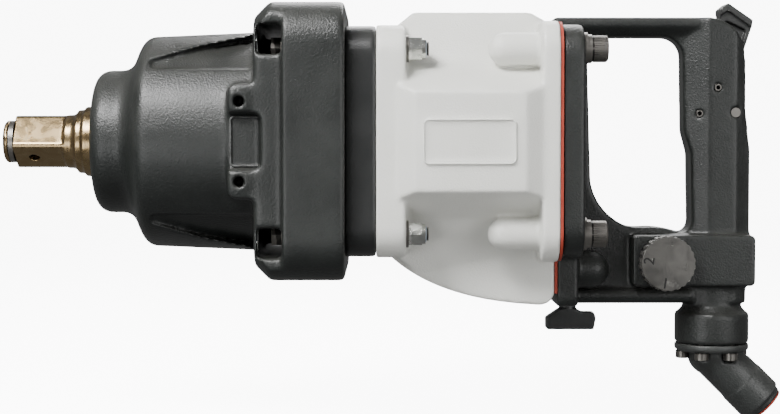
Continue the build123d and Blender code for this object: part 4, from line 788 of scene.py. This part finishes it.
def dressCaseBolts(settings):
    nutEnd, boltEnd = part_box("case_nuts")[1][0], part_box("case_bolts")[1][0]
    crests = growDetail(threadTree, {
        "Radius": settings["radius"], "Pitch": settings["pitch"],
        "Crests": int((boltEnd - nutEnd) / settings["pitch"]) + 1, "Crest Width": settings["crestWidth"],
    }, "dark_steel")
    nylon = growDetail(threadTree, {
        "Radius": settings["nylonRadius"], "Pitch": settings["pitch"], "Crests": 1,
        "Crest Width": settings["nylonWidth"],
    }, "nylon_insert")
    crestPlaces, nylonPlaces, gap = [], [], settings["nutGap"]
    for low, high in solidBoxes("case_nuts"):
        middle = (low + high) / 2
        for places, mesh, x in ((crestPlaces, crests, nutEnd + gap), (nylonPlaces, nylon, nutEnd - gap)):
            places.append((mesh, Matrix.Translation((x, middle[1], middle[2])) @ axisTurn((1, 0, 0))))
    addPiece("bolt_end_threads", joinMeshes("bolt_end_threads", crestPlaces), "root", "dark_steel")
    addPiece(
        "nut_nylon_rings", joinMeshes("nut_nylon_rings", nylonPlaces), "root", "black_plastic", True, "nylon_insert",
    )


dressCaseBolts(boltThread)

# ---------- thread in the mouth of the air inlet ----------
inletThread = {"radius": 0.00905, "pitch": 0.00181, "crestWidth": 0.0005, "length": 0.0165}


def cutInletThread(settings):
    mount = next(mount for mount in frame["record"]["mounts"] if mount["name"] == "air_inlet")
    direction = Vector(mount["axis"])
    start = Vector(mount["pos_m"]) - direction * settings["length"] / 2
    crests = growDetail(threadTree, {
        "Radius": settings["radius"], "Pitch": settings["pitch"],
        "Crests": int(settings["length"] / settings["pitch"]), "Crest Width": settings["crestWidth"],
    }, "grey_casting")
    placed = [(crests, Matrix.Translation(start) @ axisTurn(direction))]
    addPiece("inlet_thread", joinMeshes("inlet_thread", placed), "root", "grey_casting")


cutInletThread(inletThread)

# ---------- hollow roll pins in the grip ----------
rollPin = {"wall": 0.0009, "lipShare": 0.3, "sides": 28}


def rollPins(settings):
    placed = []
    for low, high in solidBoxes("grip_pins"):
        outer = (high - low)[0] / 2
        middle = (low + high) / 2
        lip = settings["wall"] * settings["lipShare"]
        tube = tubeMesh(outer, outer - settings["wall"], (high - low)[1], lip, settings["sides"])
        placed.append((tube, Matrix.Translation((middle[0], low[1], middle[2])) @ axisTurn((0, 1, 0))))
    pins = addPiece("grip_roll_pins", joinMeshes("grip_roll_pins", placed), "root", "dark_steel")
    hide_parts("grip_pins")


rollPins(rollPin)
print("threads and pins ready")

# ---------- blank label frame and the pad frames of the side handle ----------
labelFrame = {"place": 0.5036, "length": 0.0545, "height": 0.0260, "corner": 0.0032, "ridge": 0.0006}
padFrame = {
    "setback": 0.0045, "length": 0.0195, "height": 0.0290, "corner": 0.0022, "ridge": 0.0007, "sink": 0.0064,
}


def frameLabel(settings):
    low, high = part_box("motor_housing")
    middle = (low[0] + settings["place"] * (high[0] - low[0]), 0.0)
    placed = []
    for y in (low[1], high[1]):
        outline = roundedOutline(middle, settings["length"], settings["height"], settings["corner"], y)
        placed.append((lineMesh(outline, settings["ridge"]), Matrix.Identity(4)))
    addPiece("label_frame", joinMeshes("label_frame", placed), "root", "pale_paint", True)


def framePads(settings):
    mounts = [mount for mount in frame["record"]["mounts"] if mount["name"].startswith("side_handle")]
    placed = []
    for mount in mounts:
        x, y, z = mount["pos_m"]
        outline = roundedOutline(
            (x + settings["setback"], z), settings["length"], settings["height"], settings["corner"],
            y - mount["axis"][1] * settings["sink"],
        )
        placed.append((lineMesh(outline, settings["ridge"]), Matrix.Identity(4)))
    addPiece("side_pad_frames", joinMeshes("side_pad_frames", placed), "root", "black_casting", True)


frameLabel(labelFrame)
framePads(padFrame)

# ---------- regulator dial with engraved numbers ----------
dialMarks = {
    "numbers": (("3", 0), ("4", 90), ("1", 180), ("2", 270)), "turn": 9, "reach": 0.0119, "height": 0.0066,
    "digitShare": 0.70, "depth": 0.0005, "ink": 0.0001, "bolder": 0.012,
    "rimWidth": 0.0003, "rimSegments": 2, "rimAngle": 50,
}


def numberMesh(text, size, bolder, thickness):
    curve = bpy.data.curves.new("number", "FONT")
    curve.body = text
    curve.size = size
    curve.extrude = thickness / 2
    curve.offset = size * bolder
    curve.align_x = "CENTER"
    curve.align_y = "CENTER"
    number = bpy.data.objects.new("number", curve)
    bpy.context.scene.collection.objects.link(number)
    return plainMesh(number)


def engraveDial(settings):
    low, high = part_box("regulator_dial")
    middle, faceY = (low + high) / 2, low[1]
    cutters, inks = [], []
    for text, degrees in settings["numbers"]:
        angle = radians(degrees + settings["turn"])
        across, upward = settings["reach"] * sin(angle), settings["reach"] * cos(angle)
        place = Vector((middle[0] + across, faceY, middle[2] + upward))
        turn = Matrix.Rotation(angle, 4, "Y") @ Matrix.Rotation(pi / 2, 4, "X")
        size, bolder = settings["height"] / settings["digitShare"], settings["bolder"]
        cutters.append((numberMesh(text, size, bolder, 2 * settings["depth"]), Matrix.Translation(place) @ turn))
        floorPlace = place + Vector((0, settings["depth"] - settings["ink"], 0))
        inks.append((numberMesh(text, size, bolder, settings["ink"]), Matrix.Translation(floorPlace) @ turn))
    cutter = bpy.data.objects.new("cutter", joinMeshes("cutter", cutters))
    bpy.context.scene.collection.objects.link(cutter)
    source = bpy.data.objects.new("dial", frame["nodes"]["regulator_dial"].data.copy())
    bpy.context.scene.collection.objects.link(source)
    source.modifiers.new("weld", "WELD").merge_threshold = weldReach
    rim = source.modifiers.new("rim", "BEVEL")
    rim.width = settings["rimWidth"]
    rim.segments = settings["rimSegments"]
    rim.angle_limit = radians(settings["rimAngle"])
    cut = source.modifiers.new("cut", "BOOLEAN")
    cut.object = cutter
    cut.operation = "DIFFERENCE"
    cut.solver = "EXACT"
    dial = addPiece("regulator_dial_engraved", plainMesh(source), "regulator", "dial_metal")
    bpy.data.objects.remove(cutter)
    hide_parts("regulator_dial")
    addPiece(
        "dial_number_ink", joinMeshes("dial_number_ink", inks), "regulator", "dial_metal", False, "engraving_ink",
    )
    print("dial faces:", len(dial.data.polygons))


engraveDial(dialMarks)

# ---------- raised marks beside the reverse lever ----------
# Known fault: at this faceY they lie under the handle's surface, so they don't show.
leverMarks = {
    "faceY": -0.038, "rise": 0.0007, "sink": 0.0010, "edge": 0.0048, "drop": 0.0280,
    "bar": 0.0010, "pitch": 0.0024, "length": 0.0066, "count": 3,
    "stemStart": 1.5, "stemEnd": 0.5, "stemRows": 2.6,
}


def markLever(settings):
    plateLow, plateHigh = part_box("handle_gasket")
    front, back = settings["faceY"] - settings["rise"], settings["faceY"] + settings["sink"]
    start, top, bar = plateHigh[0] + settings["edge"], plateLow[2] + settings["drop"], settings["bar"]
    slabs = []
    for row in range(settings["count"]):
        z = top - row * settings["pitch"]
        slabs.append(slab((start, front, z), (start + settings["length"], back, z + bar)))
    stemFoot = top - settings["stemRows"] * settings["pitch"]
    slabs.append(slab(
        (start - settings["stemStart"] * bar, front, stemFoot), (start - settings["stemEnd"] * bar, back, top + bar),
    ))
    placed = [(mesh, Matrix.Identity(4)) for mesh in slabs]
    # The raised marks take the lighter, metallic dark_steel finish rather than the casting's black: a painted
    # highlight for lines that catch the light.
    addPiece("lever_marks", joinMeshes("lever_marks", placed), "root", "black_casting", False, "dark_steel")


markLever(leverMarks)
print("labels and marks ready")
